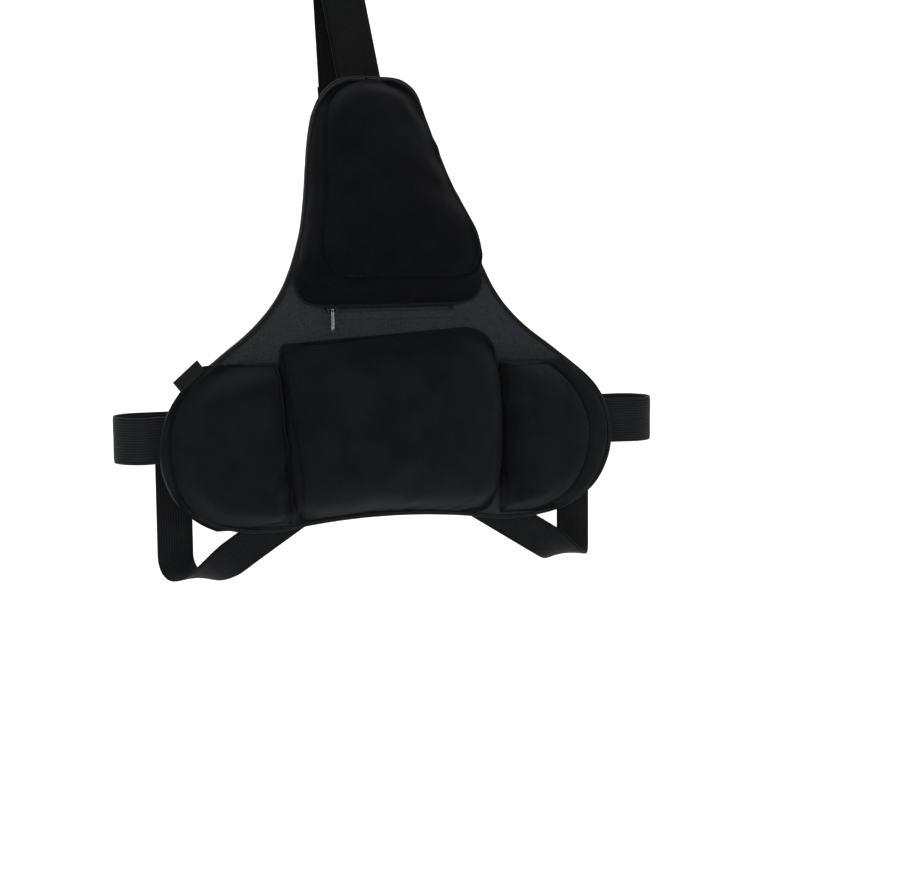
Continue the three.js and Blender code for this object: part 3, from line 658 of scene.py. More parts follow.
def sides_of(loop):
    """A loop's left and right edges as chains of (u, s) from the bottom up."""
    middle = (loop[:, 0].min() + loop[:, 0].max()) / 2
    chains = []
    for sign in (-1, 1):
        chain = []
        for u, s in loop:
            beyond = [p for p in loop if abs(p[1] - s) < 0.3 * MM and sign * (p[0] - u) > 0.05 * MM]
            if sign * (u - middle) > 0 and not beyond:
                chain.append((u, s))
        chain.sort(key=lambda p: p[1])
        chains.append(np.array(chain))
    return chains


def pattern_rows(node, front, count, outer):
    """Rows of a pattern piece from a node's outline: arrays of s, left u and right u.

    outer says which side's length sets the spacing: -1 left, 1 right."""
    left, right = sides_of(rim_of(node, front))
    lead = even_chain(right if outer > 0 else left, count)
    dense = even_chain(left if outer > 0 else right, 400)
    across = np.interp(lead[:, 1], dense[:, 1], dense[:, 0])
    s = lead[:, 1]
    return (s, across, lead[:, 0]) if outer > 0 else (s, lead[:, 0], across)


# --- Pads -------------------------------------------------------------------------------------------
class Pad:
    """One padded block, sizes in millimetres.

    grow: how far the sewn base reaches past the frame's outline at the bottom left, top left, bottom
    right, top right, bottom and top.
    draw: how far the face is drawn in at the bottom left, top left, bottom right and top right.
    slope: how far the face is drawn in along the bottom and the top.
    tilt: how much higher the top edge is at its right end than in the middle.
    rounding: how far the face falls away towards its edges.
    square: from 0 to 1, how nearly square the left-hand corners are.
    cap: the furthest that filling moves any point.
    calm: how many rounds of smoothing the filled shape gets."""

    def __init__(self, name, cad, outer, grow, draw, slope, tilt, rounding, square, cells, cap, fill, calm):
        self.name, self.cad, self.outer = name, cad, outer
        self.grow = [g * MM for g in grow]
        self.draw = [v * MM for v in draw]
        self.slope = [v * MM for v in slope]
        self.tilt, self.rounding, self.square = tilt * MM, rounding * MM, square
        self.cells, self.cap, self.fill, self.calm = cells, cap * MM, fill, calm


PADS = [
    Pad("upper_pad", "upper_pad", 1, (4, 4, 4, 4, 1.5, 2), (20, 9, 4, 0), (20, -1.5), 0, 4, 0,
        (40, 9, 56), 7, 0.7, 8),
    Pad("lumbar_pad", "lumbar_pad", 1, (-9, 5, 1, 2, 3, 0.5), (4, 2.5, 3, 3), (1, 2.5), 6, 6, 0.75,
        (52, 9, 44), 8, 0.75, 2),
    Pad("left_wing_pad", "left_wing", -1, (5.5, 5.5, 16, -1, 6, 9), (6, 5, 9, 5), (1.5, 2), 0, 5, 0,
        (32, 8, 42), 7, 0.7, 2),
    Pad("right_wing_pad", "right_wing", 1, (1, 1, 1, 0, 4.5, 5), (1.5, 1.5, 20, 16), (1.5, 3), 0, 5, 0,
        (28, 8, 42), 7, 0.7, 2),
]
PAD_FOOT = 7.3 * MM  # how far forward of the rear face a pad begins
SHOULDER = 2.4  # how late a pad's sides turn in towards its face


def face_depths(pad, u, s):
    """Depth of the frame's block at each place of the face, smoothed over its facets."""
    flat, faces = node_mesh(pad.cad + "_foam")
    flat[:, 1] -= arch_at(flat[:, 0], flat[:, 1])
    tree = BVHTree.FromPolygons([tuple(p) for p in flat], faces)
    in_front = 0.3
    depth = np.full(u.shape, np.nan)
    for index in np.ndindex(u.shape):
        hit = tree.ray_cast(Vector((u[index], s[index], in_front)), Vector((0, 0, -1)))[0]
        if hit is not None:
            depth[index] = hit.z
    for row in depth:
        known = np.flatnonzero(~np.isnan(row))
        if len(known):
            row[:] = np.interp(np.arange(len(row)), known, row[known])
    known = np.flatnonzero(~np.isnan(depth[:, 0]))
    for column in depth.T:
        column[:] = np.interp(np.arange(len(column)), known, column[known])
    for _ in range(14):
        wide = np.pad(depth, 1, mode="edge")
        around = wide[:-2, 1:-1] + wide[2:, 1:-1] + wide[1:-1, :-2] + wide[1:-1, 2:]
        depth = 0.5 * depth + 0.125 * around
    return depth


def pad_shape(pad):
    """The sewn pad before it is filled: its lattice and the flat place of each corner."""
    nx, ny, nz = pad.cells
    lattice = Lattice(nx, ny, nz)
    s_row, left, right = pattern_rows(pad.cad + "_cover", False, nz, pad.outer)
    share = (s_row - s_row[0]) / (s_row[-1] - s_row[0])
    left = left * (1 - pad.square) + left.min() * pad.square
    left = left - pad.grow[0] * (1 - share) - pad.grow[1] * share
    right = right + pad.grow[2] * (1 - share) + pad.grow[3] * share
    s_row = s_row - pad.grow[4] * (1 - share) + pad.grow[5] * share
    across = np.linspace(0, 1, nx + 1)
    base_u = left[:, None] + (right - left)[:, None] * across
    half = (right - left).max() / 2
    centre = (right + left).mean() / 2
    tilt = pad.tilt * share[:, None] * (base_u - centre) / half
    base_s = s_row[:, None] + tilt
    face_left = left + pad.draw[0] * (1 - share) + pad.draw[1] * share
    face_right = right - pad.draw[2] * (1 - share) - pad.draw[3] * share
    face_u = face_left[:, None] + (face_right - face_left)[:, None] * across
    face_s = base_s + (pad.slope[0] * (1 - share) - pad.slope[1] * share)[:, None]
    near_edge = np.maximum(np.abs(2 * across - 1)[None, :], np.abs(2 * share - 1)[:, None])
    face_d = face_depths(pad, face_u, face_s) - pad.rounding * near_edge**5
    share_y = lattice.shares()[:, 1]
    column, _, row = lattice.corners.astype(int).T
    rise = 1 - share_y
    lean = rise**SHOULDER
    u = base_u[row, column] * (1 - lean) + face_u[row, column] * lean
    s = base_s[row, column] * (1 - rise) + face_s[row, column] * rise
    d = PAD_FOOT + (face_d[row, column] - PAD_FOOT) * rise
    return lattice, np.stack([u, s, d], -1)


def smoothed(values, faces, held, rounds):
    """Values at corners, each drawn towards its neighbours; the held corners stay at nought."""
    faces = np.array(faces)
    ends = np.concatenate([faces[:, [i, (i + 1) % 4]] for i in range(4)])
    count = np.bincount(ends[:, 0], minlength=len(values))[:, None]
    for _ in range(rounds):
        total = np.zeros_like(values)
        np.add.at(total, ends[:, 0], values[ends[:, 1]])
        values = 0.4 * values + 0.6 * total / count
        values[held] = 0
    return values


def fill_with_cloth(obj, pinned, cap, calm, frames=20):
    """Inflates a sewn shell between its pinned seams, calms its wrinkles and caps how far it moves."""
    rest = points_of(obj.data)
    group = obj.vertex_groups.new(name="pinned")
    group.add([int(i) for i in pinned], 1.0, "REPLACE")
    cloth = obj.modifiers.new("fill", "CLOTH")
    settings = cloth.settings
    settings.quality = 6
    settings.mass = 0.25
    settings.use_pressure = True
    settings.uniform_pressure_force = 4
    settings.tension_stiffness = settings.compression_stiffness = 18
    settings.shear_stiffness = 6
    settings.bending_stiffness = 0.4
    settings.shrink_min = -0.015
    settings.vertex_group_mass = "pinned"
    settings.effector_weights.gravity = 0
    cloth.collision_settings.use_self_collision = False
    scene = bpy.context.scene
    cloth.point_cache.frame_start, cloth.point_cache.frame_end = 1, frames
    for number in range(1, frames + 1):
        scene.frame_set(number)
    shaped = obj.evaluated_get(bpy.context.evaluated_depsgraph_get())
    moved = points_of(shaped.data)
    obj.modifiers.remove(cloth)
    scene.frame_set(1)
    obj.vertex_groups.clear()
    faces = [tuple(p.vertices) for p in obj.data.polygons]
    shift = smoothed(moved - rest, faces, pinned, calm)
    length = np.linalg.norm(shift, axis=1, keepdims=True)
    soft = cap * np.tanh(length / cap) / np.maximum(length, 1e-9)
    return rest + shift * soft


def normals_of(points, faces):
    """Area-weighted corner normals of a quad mesh."""
    faces = np.array(faces)
    diagonal_a = points[faces[:, 2]] - points[faces[:, 0]]
    diagonal_b = points[faces[:, 3]] - points[faces[:, 1]]
    normal = np.cross(diagonal_a, diagonal_b)
    total = np.zeros_like(points)
    for corner in range(4):
        np.add.at(total, faces[:, corner], normal)
    return total / np.maximum(np.linalg.norm(total, axis=1, keepdims=True), 1e-12)


def distance_to(points, lines):
    """Each point's distance to the nearest of some points, by cell search."""
    tree = KDTree(len(lines))
    for i, p in enumerate(lines):
        tree.insert(p, i)
    tree.balance()
    return np.array([tree.find(p)[2] for p in points])


def refine(obj):
    """One smoothing subdivision, made real."""
    modifier = obj.modifiers.new("fine", "SUBSURF")
    modifier.levels = modifier.render_levels = 1
    fine = bpy.data.meshes.new_from_object(obj.evaluated_get(bpy.context.evaluated_depsgraph_get()))
    obj.modifiers.remove(modifier)
    coarse = obj.data
    obj.data = fine
    bpy.data.meshes.remove(coarse)
    fine.name = obj.name


def points_of(mesh):
    corners = np.empty(len(mesh.vertices) * 3)
    mesh.vertices.foreach_get("co", corners)
    return corners.reshape(-1, 3)


def field(points, scale, shift=0.0):
    """Smooth noise at some points, from about -1 to 1."""
    return np.array([noise.noise(Vector(p) * scale + Vector((shift, shift * 0.7, 1.3))) for p in points])


def chain_points(points, spacing):
    """A polyline's points, closer together than the spacing."""
    dense = []
    for a, b in zip(points, points[1:]):
        count = max(1, int(np.linalg.norm(b - a) / spacing))
        dense.extend(a + (b - a) * i / count for i in range(count))
    dense.append(points[-1])
    return np.array(dense)


def rim(lattice, layer):
    """Corner numbers round one layer's edge, in order."""
    nx, _, nz = lattice.size
    index = lattice.index
    ring = [index[(i, layer, 0)] for i in range(nx)]
    ring += [index[(nx, layer, k)] for k in range(nz)]
    ring += [index[(nx - i, layer, nz)] for i in range(nx)]
    ring += [index[(0, layer, nz - k)] for k in range(nz)]
    return ring


def make_pad(pad, material):
    """Sews, fills, seams and puckers one pad. Returns its base edge."""
    lattice, flat = pad_shape(pad)
    nx, ny, nz = pad.cells
    column, layer, row = lattice.corners.astype(int).T
    at_seam = (layer == 0) & ((column == 0) | (column == nx) | (row == 0) | (row == nz))
    at_base = layer == ny
    worn = place(flat[:, 0], flat[:, 1], flat[:, 2])
    obj = make_object(pad.name, worn, lattice.faces, lattice.uvs(flat), material)
    shaped = fill_with_cloth(obj, np.flatnonzero(at_seam | at_base), pad.cap, pad.calm)
    obj.data.vertices.foreach_set("co", shaped.ravel())
    obj.data.update()
    coarse = points_of(obj.data)
    seam_line = coarse[rim(lattice, 0)]
    base_line = coarse[rim(lattice, ny)]
    refine(obj)
    points = points_of(obj.data)
    faces = [tuple(p.vertices) for p in obj.data.polygons]
    normal = normals_of(points, faces)
    near = distance_to(points, chain_points(np.vstack([seam_line, seam_line[:1]]), 1.0 * MM))
    to_base = distance_to(points, chain_points(np.vstack([base_line, base_line[:1]]), 1.5 * MM))
    pucker = 0.35 * MM * np.exp(-near / (6 * MM)) * field(points, 130)
    groove = -1.1 * MM * np.exp(-((near / (1.5 * MM)) ** 2))
    roll = 0.55 * MM * np.exp(-(((near - 3.2 * MM) / (1.6 * MM)) ** 2))
    soft = 0.6 * MM * field(points, 20, 7.0) * (1 - np.exp(-near / (18 * MM)))
    crease = -0.5 * MM * np.clip(field(points, 42, 3.0) - 0.25, 0, 1)
    foot_pucker = 0.5 * MM * np.exp(-to_base / (8 * MM)) * field(points, 110, 5.0)
    free = np.clip(to_base / (2 * MM), 0, 1)
    lift = (pucker + groove + roll + soft + crease + foot_pucker) * free
    obj.data.vertices.foreach_set("co", (points + normal * lift[:, None]).ravel())
    # How near each point lies to the face seam, read by the pad fabric as painted shade in the seam's
    # groove.
    seam_shade = obj.data.attributes.new("seam_shade", "FLOAT", "POINT")
    seam_shade.data.foreach_set("value", np.exp(-((near / (1.9 * MM)) ** 2)))
    obj.data.polygons.foreach_set("use_smooth", [True] * len(obj.data.polygons))
    obj.data.update()
    dress(obj, "cushion", "pad_fabric", pad.cad + "_cover", pad.cad + "_foam")
    return base_line


# --- Back panel -------------------------------------------------------------------------------------
PANEL_GROW = {"backing_front_panel": 0.0, "backing_rear_panel": 2.2 * MM}


def make_panel(name, node, front, depths, size, material, relief=None):
    """A sheet of the back panel from its outline in the frame; depths are its rear and front faces."""
    nx, nz = size
    lattice = Lattice(nx, 1, nz)
    s_row, left, right = pattern_rows(node, front, nz, 1)
    grow = PANEL_GROW[node]
    share = (s_row - s_row[0]) / (s_row[-1] - s_row[0])
    left, right = left - grow, right + grow
    s_row = s_row + grow * (2 * share - 1)
    share_x, share_y, _ = lattice.shares().T
    row = lattice.corners[:, 2].astype(int)
    u = left[row] + (right - left)[row] * share_x
    s = s_row[row]
    d = depths[1] + (depths[0] - depths[1]) * share_y
    if relief:
        edge = np.minimum(np.minimum(right[row] - u, u - left[row]), np.minimum(s - s_row[0], s_row[-1] - s))
        d = d + np.where(share_y < 0.5, 1, 0) * relief(u, s) * np.clip(edge / (9 * MM), 0, 1)
    flat = np.stack([u, s, d], -1)
    obj = make_object(name, place(u, s, d), lattice.faces, lattice.uvs(flat), material)
    dress(obj, "cushion", "mesh_fabric", node)


def front_relief(u, s):
    """Ripples in the front fabric, with a few gathers beside the zip's closed end."""
    gathers = np.zeros_like(u)
    zip_low, _ = node_box("zip_slider")
    for offset, height, width in ((-7, 0.8, 1.7), (-12, 0.6, 1.5), (-19, 0.5, 2.2), (-27, 0.3, 2.4)):
        middle = zip_low[0] + offset * MM + 0.12 * (zip_low[2] - s)
        gathers += height * np.exp(-(((u - middle) / (width * MM)) ** 2))
    fade = np.exp(-(((s - zip_low[2] + 8 * MM) / (13 * MM)) ** 2))
    return MM * (0.3 * ripple(u, s, (30, 14), 3.1) + 0.12 * ripple(u, s, (110, 26), 8.4) + gathers * fade)


def closed_loop(node, front, count):
    """A node's outline as evenly spaced (u, s) points, their inward directions, and its length."""
    loop = rim_of(node, front)
    area = 0.5 * np.sum(loop[:, 0] * np.roll(loop[:, 1], -1) - np.roll(loop[:, 0], -1) * loop[:, 1])
    if area < 0:
        loop = loop[::-1]
    wrapped = np.vstack([loop[-3:], loop, loop[:3]])
    fine = cubic_chain(wrapped, np.linspace(3, len(wrapped) - 3, 60 * len(loop)))
    step = travel(fine)
    at = read_along(np.linspace(0, step[-1], count, endpoint=False), step, fine)
    for _ in range(6):
        at = 0.5 * at + 0.25 * (np.roll(at, 1, 0) + np.roll(at, -1, 0))
    along = np.roll(at, -1, 0) - np.roll(at, 1, 0)
    along = unit(along)
    inward = np.stack([-along[:, 1], along[:, 0]], -1)
    return at, inward, step[-1]


# The folded tape's section, in millimetres inward from the panel's outline and forward of its rear.
TAPE_SECTION = [
    (3.5, 6.4), (3.3, 7.0), (2.2, 7.3), (0.9, 7.2), (0.1, 6.7), (-0.3, 5.6), (-0.45, 3.6),
    (-0.3, 1.6), (0.1, 0.5), (0.9, 0.05), (2.4, -0.1), (4.4, -0.05), (4.7, 0.1), (2.6, 0.3),
    (1.1, 1.3), (0.9, 3.6), (1.1, 5.7), (2.6, 6.3),
]


def make_binding(at, inward, length, material):
    """Tape folded over the back panel's edge."""
    count, sides = len(at), len(TAPE_SECTION)
    section = np.array(TAPE_SECTION)
    reach = travel(np.vstack([section, section[:1]]))
    verts, faces, uvs = [], [], []
    for index in range(count):
        pull = 0.12 * noise.noise(Vector((*at[index] * 160, 0.4)))
        u, s = (at[index] + inward[index] * (section[:, :1] + pull) * MM).T
        verts.extend(place(u, s, (section[:, 1] + pull * 0.5) * MM))
    for a in range(count):
        b = (a + 1) % count
        start, end = (a * length / count / MM, (a + 1) * length / count / MM)
        for p in range(sides):
            q = (p + 1) % sides
            faces.append([a * sides + p, a * sides + q, b * sides + q, b * sides + p])
            near, far = reach[p], reach[p + 1]
            uvs.append([(near, start), (far, start), (far, end), (near, end)])
    obj = make_object("edge_tape", verts, faces, uvs, material)
    dress(obj, "cushion", "binding", "edge_binding")


def make_cord(base_line, material, radius=1.15 * MM, sides=10):
    """A covered cord along a pad's base edge."""
    flat = unbend(base_line)[:, :2]
    u, s = (flat + unit(flat - flat.mean(0)) * 0.6 * MM).T
    line = bend(u, s, PAD_FOOT + 1.1 * MM)
    along = unit(np.roll(line, -1, 0) - np.roll(line, 1, 0))
    side = unit(np.cross(along, surface_normal(u, s)))
    up = np.cross(side, along)
    step = travel(np.vstack([line, line[:1]])) / MM
    girth = 2 * math.pi * radius / sides / MM
    verts, faces, uvs = [], [], []
    for i, (centre, a, b) in enumerate(zip(line, side, up)):
        j = (i + 1) % len(line)
        for n in range(sides):
            m = (n + 1) % sides
            angle = 2 * math.pi * n / sides
            verts.append(centre + (a * math.cos(angle) + b * math.sin(angle)) * radius)
            faces.append([i * sides + n, i * sides + m, j * sides + m, j * sides + n])
            near, far = n * girth, (n + 1) * girth
            uvs.append([(near, step[i]), (far, step[i]), (far, step[i + 1]), (near, step[i + 1])])
    cord = make_object("upper_pad_cord", verts, faces, uvs, material)
    dress(cord, "cushion", "binding", "upper_pad_piping")


# --- Zip and label ----------------------------------------------------------------------------------
def make_tape(name, node, material, rows):
    """A woven strip over a flat node of the frame, its face lightly rippled."""
    low, high = node_box(node)
    lattice = Lattice(96, 1, rows)
    share_x, share_y, share_z = lattice.shares().T
    x = low[0] + (high[0] - low[0]) * share_x
    z = low[2] + (high[2] - low[2]) * share_z
    y = np.where(share_y < 0.5, low[1] + 0.12 * MM * ripple(x, z, (150, 60), 5), high[1])
    uvs = lattice.uvs(np.stack([z, x, -y], -1), (0, 2), (2, 1))
    obj = make_object(name, np.stack([x, y, z], -1), lattice.faces, uvs, material)
    dress(obj, "cushion", "binding", node)


COIL_PITCH = 1.5 * MM
COIL_WIRE = 0.36 * MM


def make_coil(material):
    """Two meshing rows of coil loops between the zip tapes."""
    low, high = node_box("zip_teeth")
    middle = (low[2] + high[2]) / 2
    deep = high[1]
    reach, height = (high[2] - low[2]) / 2 * 1.25, (high[1] - low[1]) * 0.72
    verts, faces = [], []
    sides, rings = 6, 9
    for n in range(int((high[0] - low[0] - 2 * COIL_WIRE) / (COIL_PITCH / 2))):
        sign = 1 if n % 2 else -1
        x = low[0] + COIL_WIRE * 1.5 + n * COIL_PITCH / 2
        base = len(verts)
        for r in range(rings):
            turn = math.pi * (r / (rings - 1) * 1.5 - 0.25)
            z = middle + sign * (reach * 0.45 + reach * 0.5 * math.cos(turn))
            y = deep - height * (0.42 + 0.5 * math.sin(turn)) - 0.1 * MM
            along = np.array([0, -0.5 * height * math.cos(turn), -sign * 0.5 * reach * math.sin(turn)])
            along /= np.linalg.norm(along)
            outer = np.cross(along, [1, 0, 0])
            for k in range(sides):
                angle = 2 * math.pi * k / sides
                offset = math.cos(angle) * outer + math.sin(angle) * np.array([1, 0, 0])
                verts.append(np.array([x, y, z]) + COIL_WIRE * offset)
        for r in range(rings - 1):
            for k in range(sides):
                m = (k + 1) % sides
                a, b = base + r * sides + k, base + r * sides + m
                faces.append([a, b, b + sides, a + sides])
        faces.append([base + k for k in reversed(range(sides))])
        faces.append([base + (rings - 1) * sides + k for k in range(sides)])
    obj = make_object("zip_coil", verts, faces, no_pattern(faces), material)
    dress(obj, "cushion", "plastic", "zip_teeth")


PULL_WIRE = 0.5 * MM


def tube(line, radius, closed, sides=10):
    """A round bar along a line: its corners and faces. The line lies in the XZ plane."""
    line = np.asarray(line, float)
    along = np.roll(line, -1, 0) - np.roll(line, 1, 0) if closed else np.gradient(line, axis=0)
    along = unit(along)
    side = np.cross(along, [0, 1, 0])
    radius = np.broadcast_to(radius, len(line))
    verts, faces = [], []
    for centre, a, r in zip(line, side, radius):
        for n in range(sides):
            angle = 2 * math.pi * n / sides
            verts.append(centre + (a * math.cos(angle) + np.array([0, 1, 0]) * math.sin(angle)) * r)
    for i in range(len(line) if closed else len(line) - 1):
        j = (i + 1) % len(line)
        for n in range(sides):
            m = (n + 1) % sides
            faces.append([i * sides + m, i * sides + n, j * sides + n, j * sides + m])
    if not closed:
        faces.append([n for n in range(sides)])
        faces.append([(len(line) - 1) * sides + n for n in reversed(range(sides))])
    return verts, faces


def make_pull(metal, dark):
    """The zip pull: a slim wire loop with a dark moulded end."""
    low, high = node_box("zip_pull")
    x, y = (low[0] + high[0]) / 2, (low[1] + high[1]) / 2
    eye, foot = high[2] - 2.2 * MM, low[2] + 3.2 * MM
    half = 0.75 * MM
    loop = [(x + half * math.cos(a), y, eye + 1.3 * MM * math.sin(a)) for a in np.linspace(0, math.pi, 9)]
    loop += [(x - half, y, z) for z in np.linspace(eye, foot, 8)[1:]]
    loop += [(x - half * math.cos(a), y, foot - half * math.sin(a)) for a in np.linspace(0, math.pi, 9)[1:]]
    loop += [(x + half, y, z) for z in np.linspace(foot, eye, 8)[1:-1]]
    verts, faces = tube(loop, PULL_WIRE, True)
    pull = make_object("zip_pull_loop", verts, faces, no_pattern(faces), metal)
    dress(pull, "zip_pull", "nickel", "zip_pull")
    shares = np.linspace(0, 1, 11)
    bead = [(x, y, foot + 0.8 * MM - share * (foot - low[2] + 0.8 * MM)) for share in shares]
    girth = 0.2 * MM + 1.15 * MM * np.sin(math.pi * np.clip(shares, 0.06, 0.94)) ** 0.6
    verts, faces = tube(bead, girth, False)
    end = make_object("zip_pull_end", verts, faces, no_pattern(faces), dark)
    dress(end, "zip_pull", "plastic")


def make_label(material, thread):
    """A folded satin tab lying on the binding, plain but for a stitched border."""
    flat, _ = node_mesh("side_label")
    centre = flat.mean(0)[:2]
    offset = flat[:, :2] - centre
    _, _, ways = np.linalg.svd(offset, full_matrices=False)
    ways = [-way if way[axis] < 0 else way for axis, way in enumerate(ways)]
    half_long, half_wide = (np.abs(offset @ way).max() for way in ways)
    low, high = flat[:, 2].min(), flat[:, 2].max()

    def lay(a, b):
        return (centre + np.outer(a, ways[0]) + np.outer(b, ways[1])).T

    def lift(share_a, share_b):
        return 1.2 * MM * share_b**2 * (0.4 + 0.6 * share_a)

    lattice = Lattice(40, 2, 18)
    share_x, share_y, share_z = lattice.shares().T
    a = (2 * share_x - 1) * half_long
    b = (2 * share_z - 1) * half_wide
    thin = 1 - 0.6 * np.clip((share_z - 0.9) / 0.1, 0, 1) ** 2
    wave = 0.25 * MM * ripple(a, b, (90, 60), 2)
    d = (low + high) / 2 + (0.5 - share_y) * (high - low) * thin + wave + lift(share_x, share_z)
    uvs = lattice.uvs(np.stack([a, b, d], -1))
    obj = make_object("side_tab", bend(*lay(a, b), d), lattice.faces, uvs, material)
    dress(obj, "cushion", "label", "side_label")

    p, q = half_long - 1.8 * MM, half_wide - 1.8 * MM
    ring = np.array([(-p, q), (p, q), (p, -q), (-p, -q), (-p, q)])
    a, b = chain_points(ring, 0.8 * MM).T
    rise = lift((a / half_long + 1) / 2, (b / half_wide + 1) / 2)
    u, s = lay(a, b)
    runs = stitch_line(bend(u, s, high + rise + 0.12 * MM), surface_normal(u, s), 1.7 * MM)
    make_stitches("side_tab_stitches", runs, thread, radius=0.2 * MM)


# --- Stitching --------------------------------------------------------------------------------------
def make_stitches(name, runs, material, body="cushion", radius=0.32 * MM):
    """Thread stitches: each run is (start, end, outward) of one stitch, sunk at both ends."""
    verts, faces, uvs = [], [], []
    rings, sides = 5, 6
    for start, end, outward in runs:
        along = end - start
        across = np.cross(along, outward)
        across /= max(np.linalg.norm(across), 1e-12)
        base = len(verts)
        for r in range(rings):
            t = r / (rings - 1)
            swell = math.sin(math.pi * (0.12 + 0.76 * t))
            centre = start + along * t + outward * (0.42 * radius / MM * swell - 0.1) * MM
            for side in range(sides):
                angle = 2 * math.pi * side / sides
                offset = across * math.cos(angle) + outward * math.sin(angle)
                verts.append(centre + offset * radius * (0.55 + 0.45 * swell))
        for r in range(rings - 1):
            for side in range(sides):
                nxt = (side + 1) % sides
                a, b = base + r * sides + side, base + r * sides + nxt
                faces.append([a, a + sides, b + sides, b])
                uvs.append([(0, 0), (0, 1), (1, 1), (1, 0)])
        faces.append([base + side for side in range(sides)])
        uvs.append([(0, 0)] * sides)
        top = base + (rings - 1) * sides
        faces.append([top + side for side in reversed(range(sides))])
        uvs.append([(0, 0)] * sides)
    obj = make_object(name, verts, faces, uvs, material)
    dress(obj, body, "binding")


def stitch_line(points, outward, pitch, share=0.72):
    """Stitches of one pitch along a polyline, each covering a share of it."""
    step = travel(points)
    first = np.arange(int(step[-1] / pitch)) * pitch
    starts, ends = (read_along(first + reach, step, points) for reach in (0, share * pitch))
    return list(zip(starts, ends, unit(read_along(first, step, outward))))


def surface_normal(u, s):
    """The panel's outward direction at flat places."""
    return unit(bend(u, s, 0.01) - bend(u, s, 0.0))


# --- Straps -----------------------------------------------------------------------------------------
WIDE, NARROW, THICK = 38 * MM, 30 * MM, 1.5 * MM
STRAP_DEPTH = -1.3 * MM


def ribbon_object(name, stations, width, material, across=14):
    """A woven band through stations of (point, outward direction)."""
    points, facing = (np.array(part) for part in zip(*stations))
    along = unit(np.gradient(points, axis=0))
    side = unit(np.cross(facing, along))
    up = np.cross(along, side)
    travelled = travel(points)
    lattice = Lattice(across, 2, len(points) - 1)
    share_x, share_y, _ = lattice.shares().T
    row = lattice.corners[:, 2].astype(int)
    lateral = (share_x - 0.5) * width
    edge = np.abs(2 * share_x - 1)
    height = (0.5 - share_y) * THICK * (1 - 0.45 * np.clip((edge - 0.86) / 0.14, 0, 1) ** 2)
    wobble = 0.35 * MM * ripple(travelled[row], share_x, (14, 3), 2.2)
    corners = points[row] + side[row] * lateral[:, None] + up[row] * (height + wobble * 0.4)[:, None]
    uvs = lattice.uvs(np.stack([lateral, travelled[row], height], -1), (2, 1))
    faces, uvs = ([part[::-1] for part in parts] for parts in (lattice.faces, uvs))
    return make_object(name, corners, faces, uvs, material)


def resample(stations, pitch):
    """Stations at an even pitch along the same path."""
    points, facing = (np.array(part, float) for part in zip(*stations))
    step = travel(points)
    wanted = np.linspace(0, step[-1], max(2, int(step[-1] / pitch)) + 1)
    return list(zip(read_along(wanted, step, points), unit(read_along(wanted, step, facing))))


def node_box(node):
    low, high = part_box(node)
    return np.array(low), np.array(high)


FRONT, REAR = np.array([0, -1.0, 0]), np.array([0, 1.0, 0])


def strap_nodes(strap):
    """A strap's front run, fold and rear run in the frame."""
    return [f"{strap}_{part}" for part in ("front", "fold", "rear")]


def side_strap_path(word):
    """From behind a wing, round the side of the backrest, to the end of the rear run."""
    sign = -1 if word == "left" else 1
    front, fold, rear = (node_box(node) for node in strap_nodes(word + "_strap"))
    near = 1 if sign < 0 else 0  # which corner of each box is nearer the middle
    root_u = abs(unbend([[front[near][0], front[1][1], 0]])[0][0])
    stations = []
    for u in np.linspace(root_u, root_u + 25 * MM, 8):
        stations.append((bend(sign * u, 0, STRAP_DEPTH), FRONT))
    radius = (fold[1][1] - fold[0][1] - THICK) / 2
    centre = np.array([fold[near][0], (fold[1][1] + fold[0][1]) / 2, 0])
    for angle in np.linspace(0, math.pi, 15):
        facing = np.array([sign * math.sin(angle), -math.cos(angle), 0])
        stations.append((centre + facing * radius, facing))
    stations.append((np.array([rear[near][0], (rear[0][1] + rear[1][1]) / 2, 0]), REAR))
    return resample(stations, 3 * MM)


LOWER_SLOPE = math.atan2(31, 49)


def lower_strap_path(word):
    """From behind the bottom edge, slanting out, round the foot of the backrest and up behind."""
    sign = -1 if word == "left" else 1
    (front_low, front_high), _, (rear_low, rear_high) = map(node_box, strap_nodes(f"lower_{word}_strap"))
    half = NARROW / 2
    inner_x = min(abs(front_low[0]), abs(front_high[0])) + half * math.sin(LOWER_SLOPE)
    top_z = front_high[2] - half * math.cos(LOWER_SLOPE)
    turn_z = rear_low[2]
    reach = (top_z - turn_z) / math.sin(LOWER_SLOPE)
    stations = []
    for r in np.linspace(0, reach, 10):
        u = sign * (inner_x + r * math.cos(LOWER_SLOPE))
        stations.append((bend(u, top_z - r * math.sin(LOWER_SLOPE), STRAP_DEPTH), FRONT))
    start = stations[-1][0]
    rear_y = (rear_low[1] + rear_high[1]) / 2
    radius = (rear_y - start[1]) / 2
    drift = radius / math.tan(LOWER_SLOPE)
    for angle in np.linspace(0, math.pi, 22)[1:]:
        x = start[0] + sign * drift * (angle - angle**2 / (2 * math.pi))
        y = start[1] + radius * (1 - math.cos(angle))
        z = turn_z - radius * math.sin(angle)
        stations.append((np.array([x, y, z]), np.array([0, -math.cos(angle), -math.sin(angle)])))
    stations.append((np.array([stations[-1][0][0], rear_y, rear_high[2]]), REAR))
    return resample(stations, 2.5 * MM)


def top_strap_frame():
    """The top strap's rear line: its top, its foot, its direction down and its outward direction."""
    low, high = node_box("top_strap_rear")
    middle = (low[0] + high[0]) / 2
    lean = math.atan2(high[1] - low[1], high[2] - low[2])
    inset = np.array([0, THICK / 2 * math.cos(lean), THICK / 2 * math.sin(lean)])
    top = np.array([middle, high[1], high[2]]) - inset * np.array([0, 1, -1])
    foot = np.array([middle, low[1], low[2]]) + inset * np.array([0, 1, -1])
    down = (foot - top) / np.linalg.norm(foot - top)
    return top, foot, down, np.cross([1, 0, 0], down)


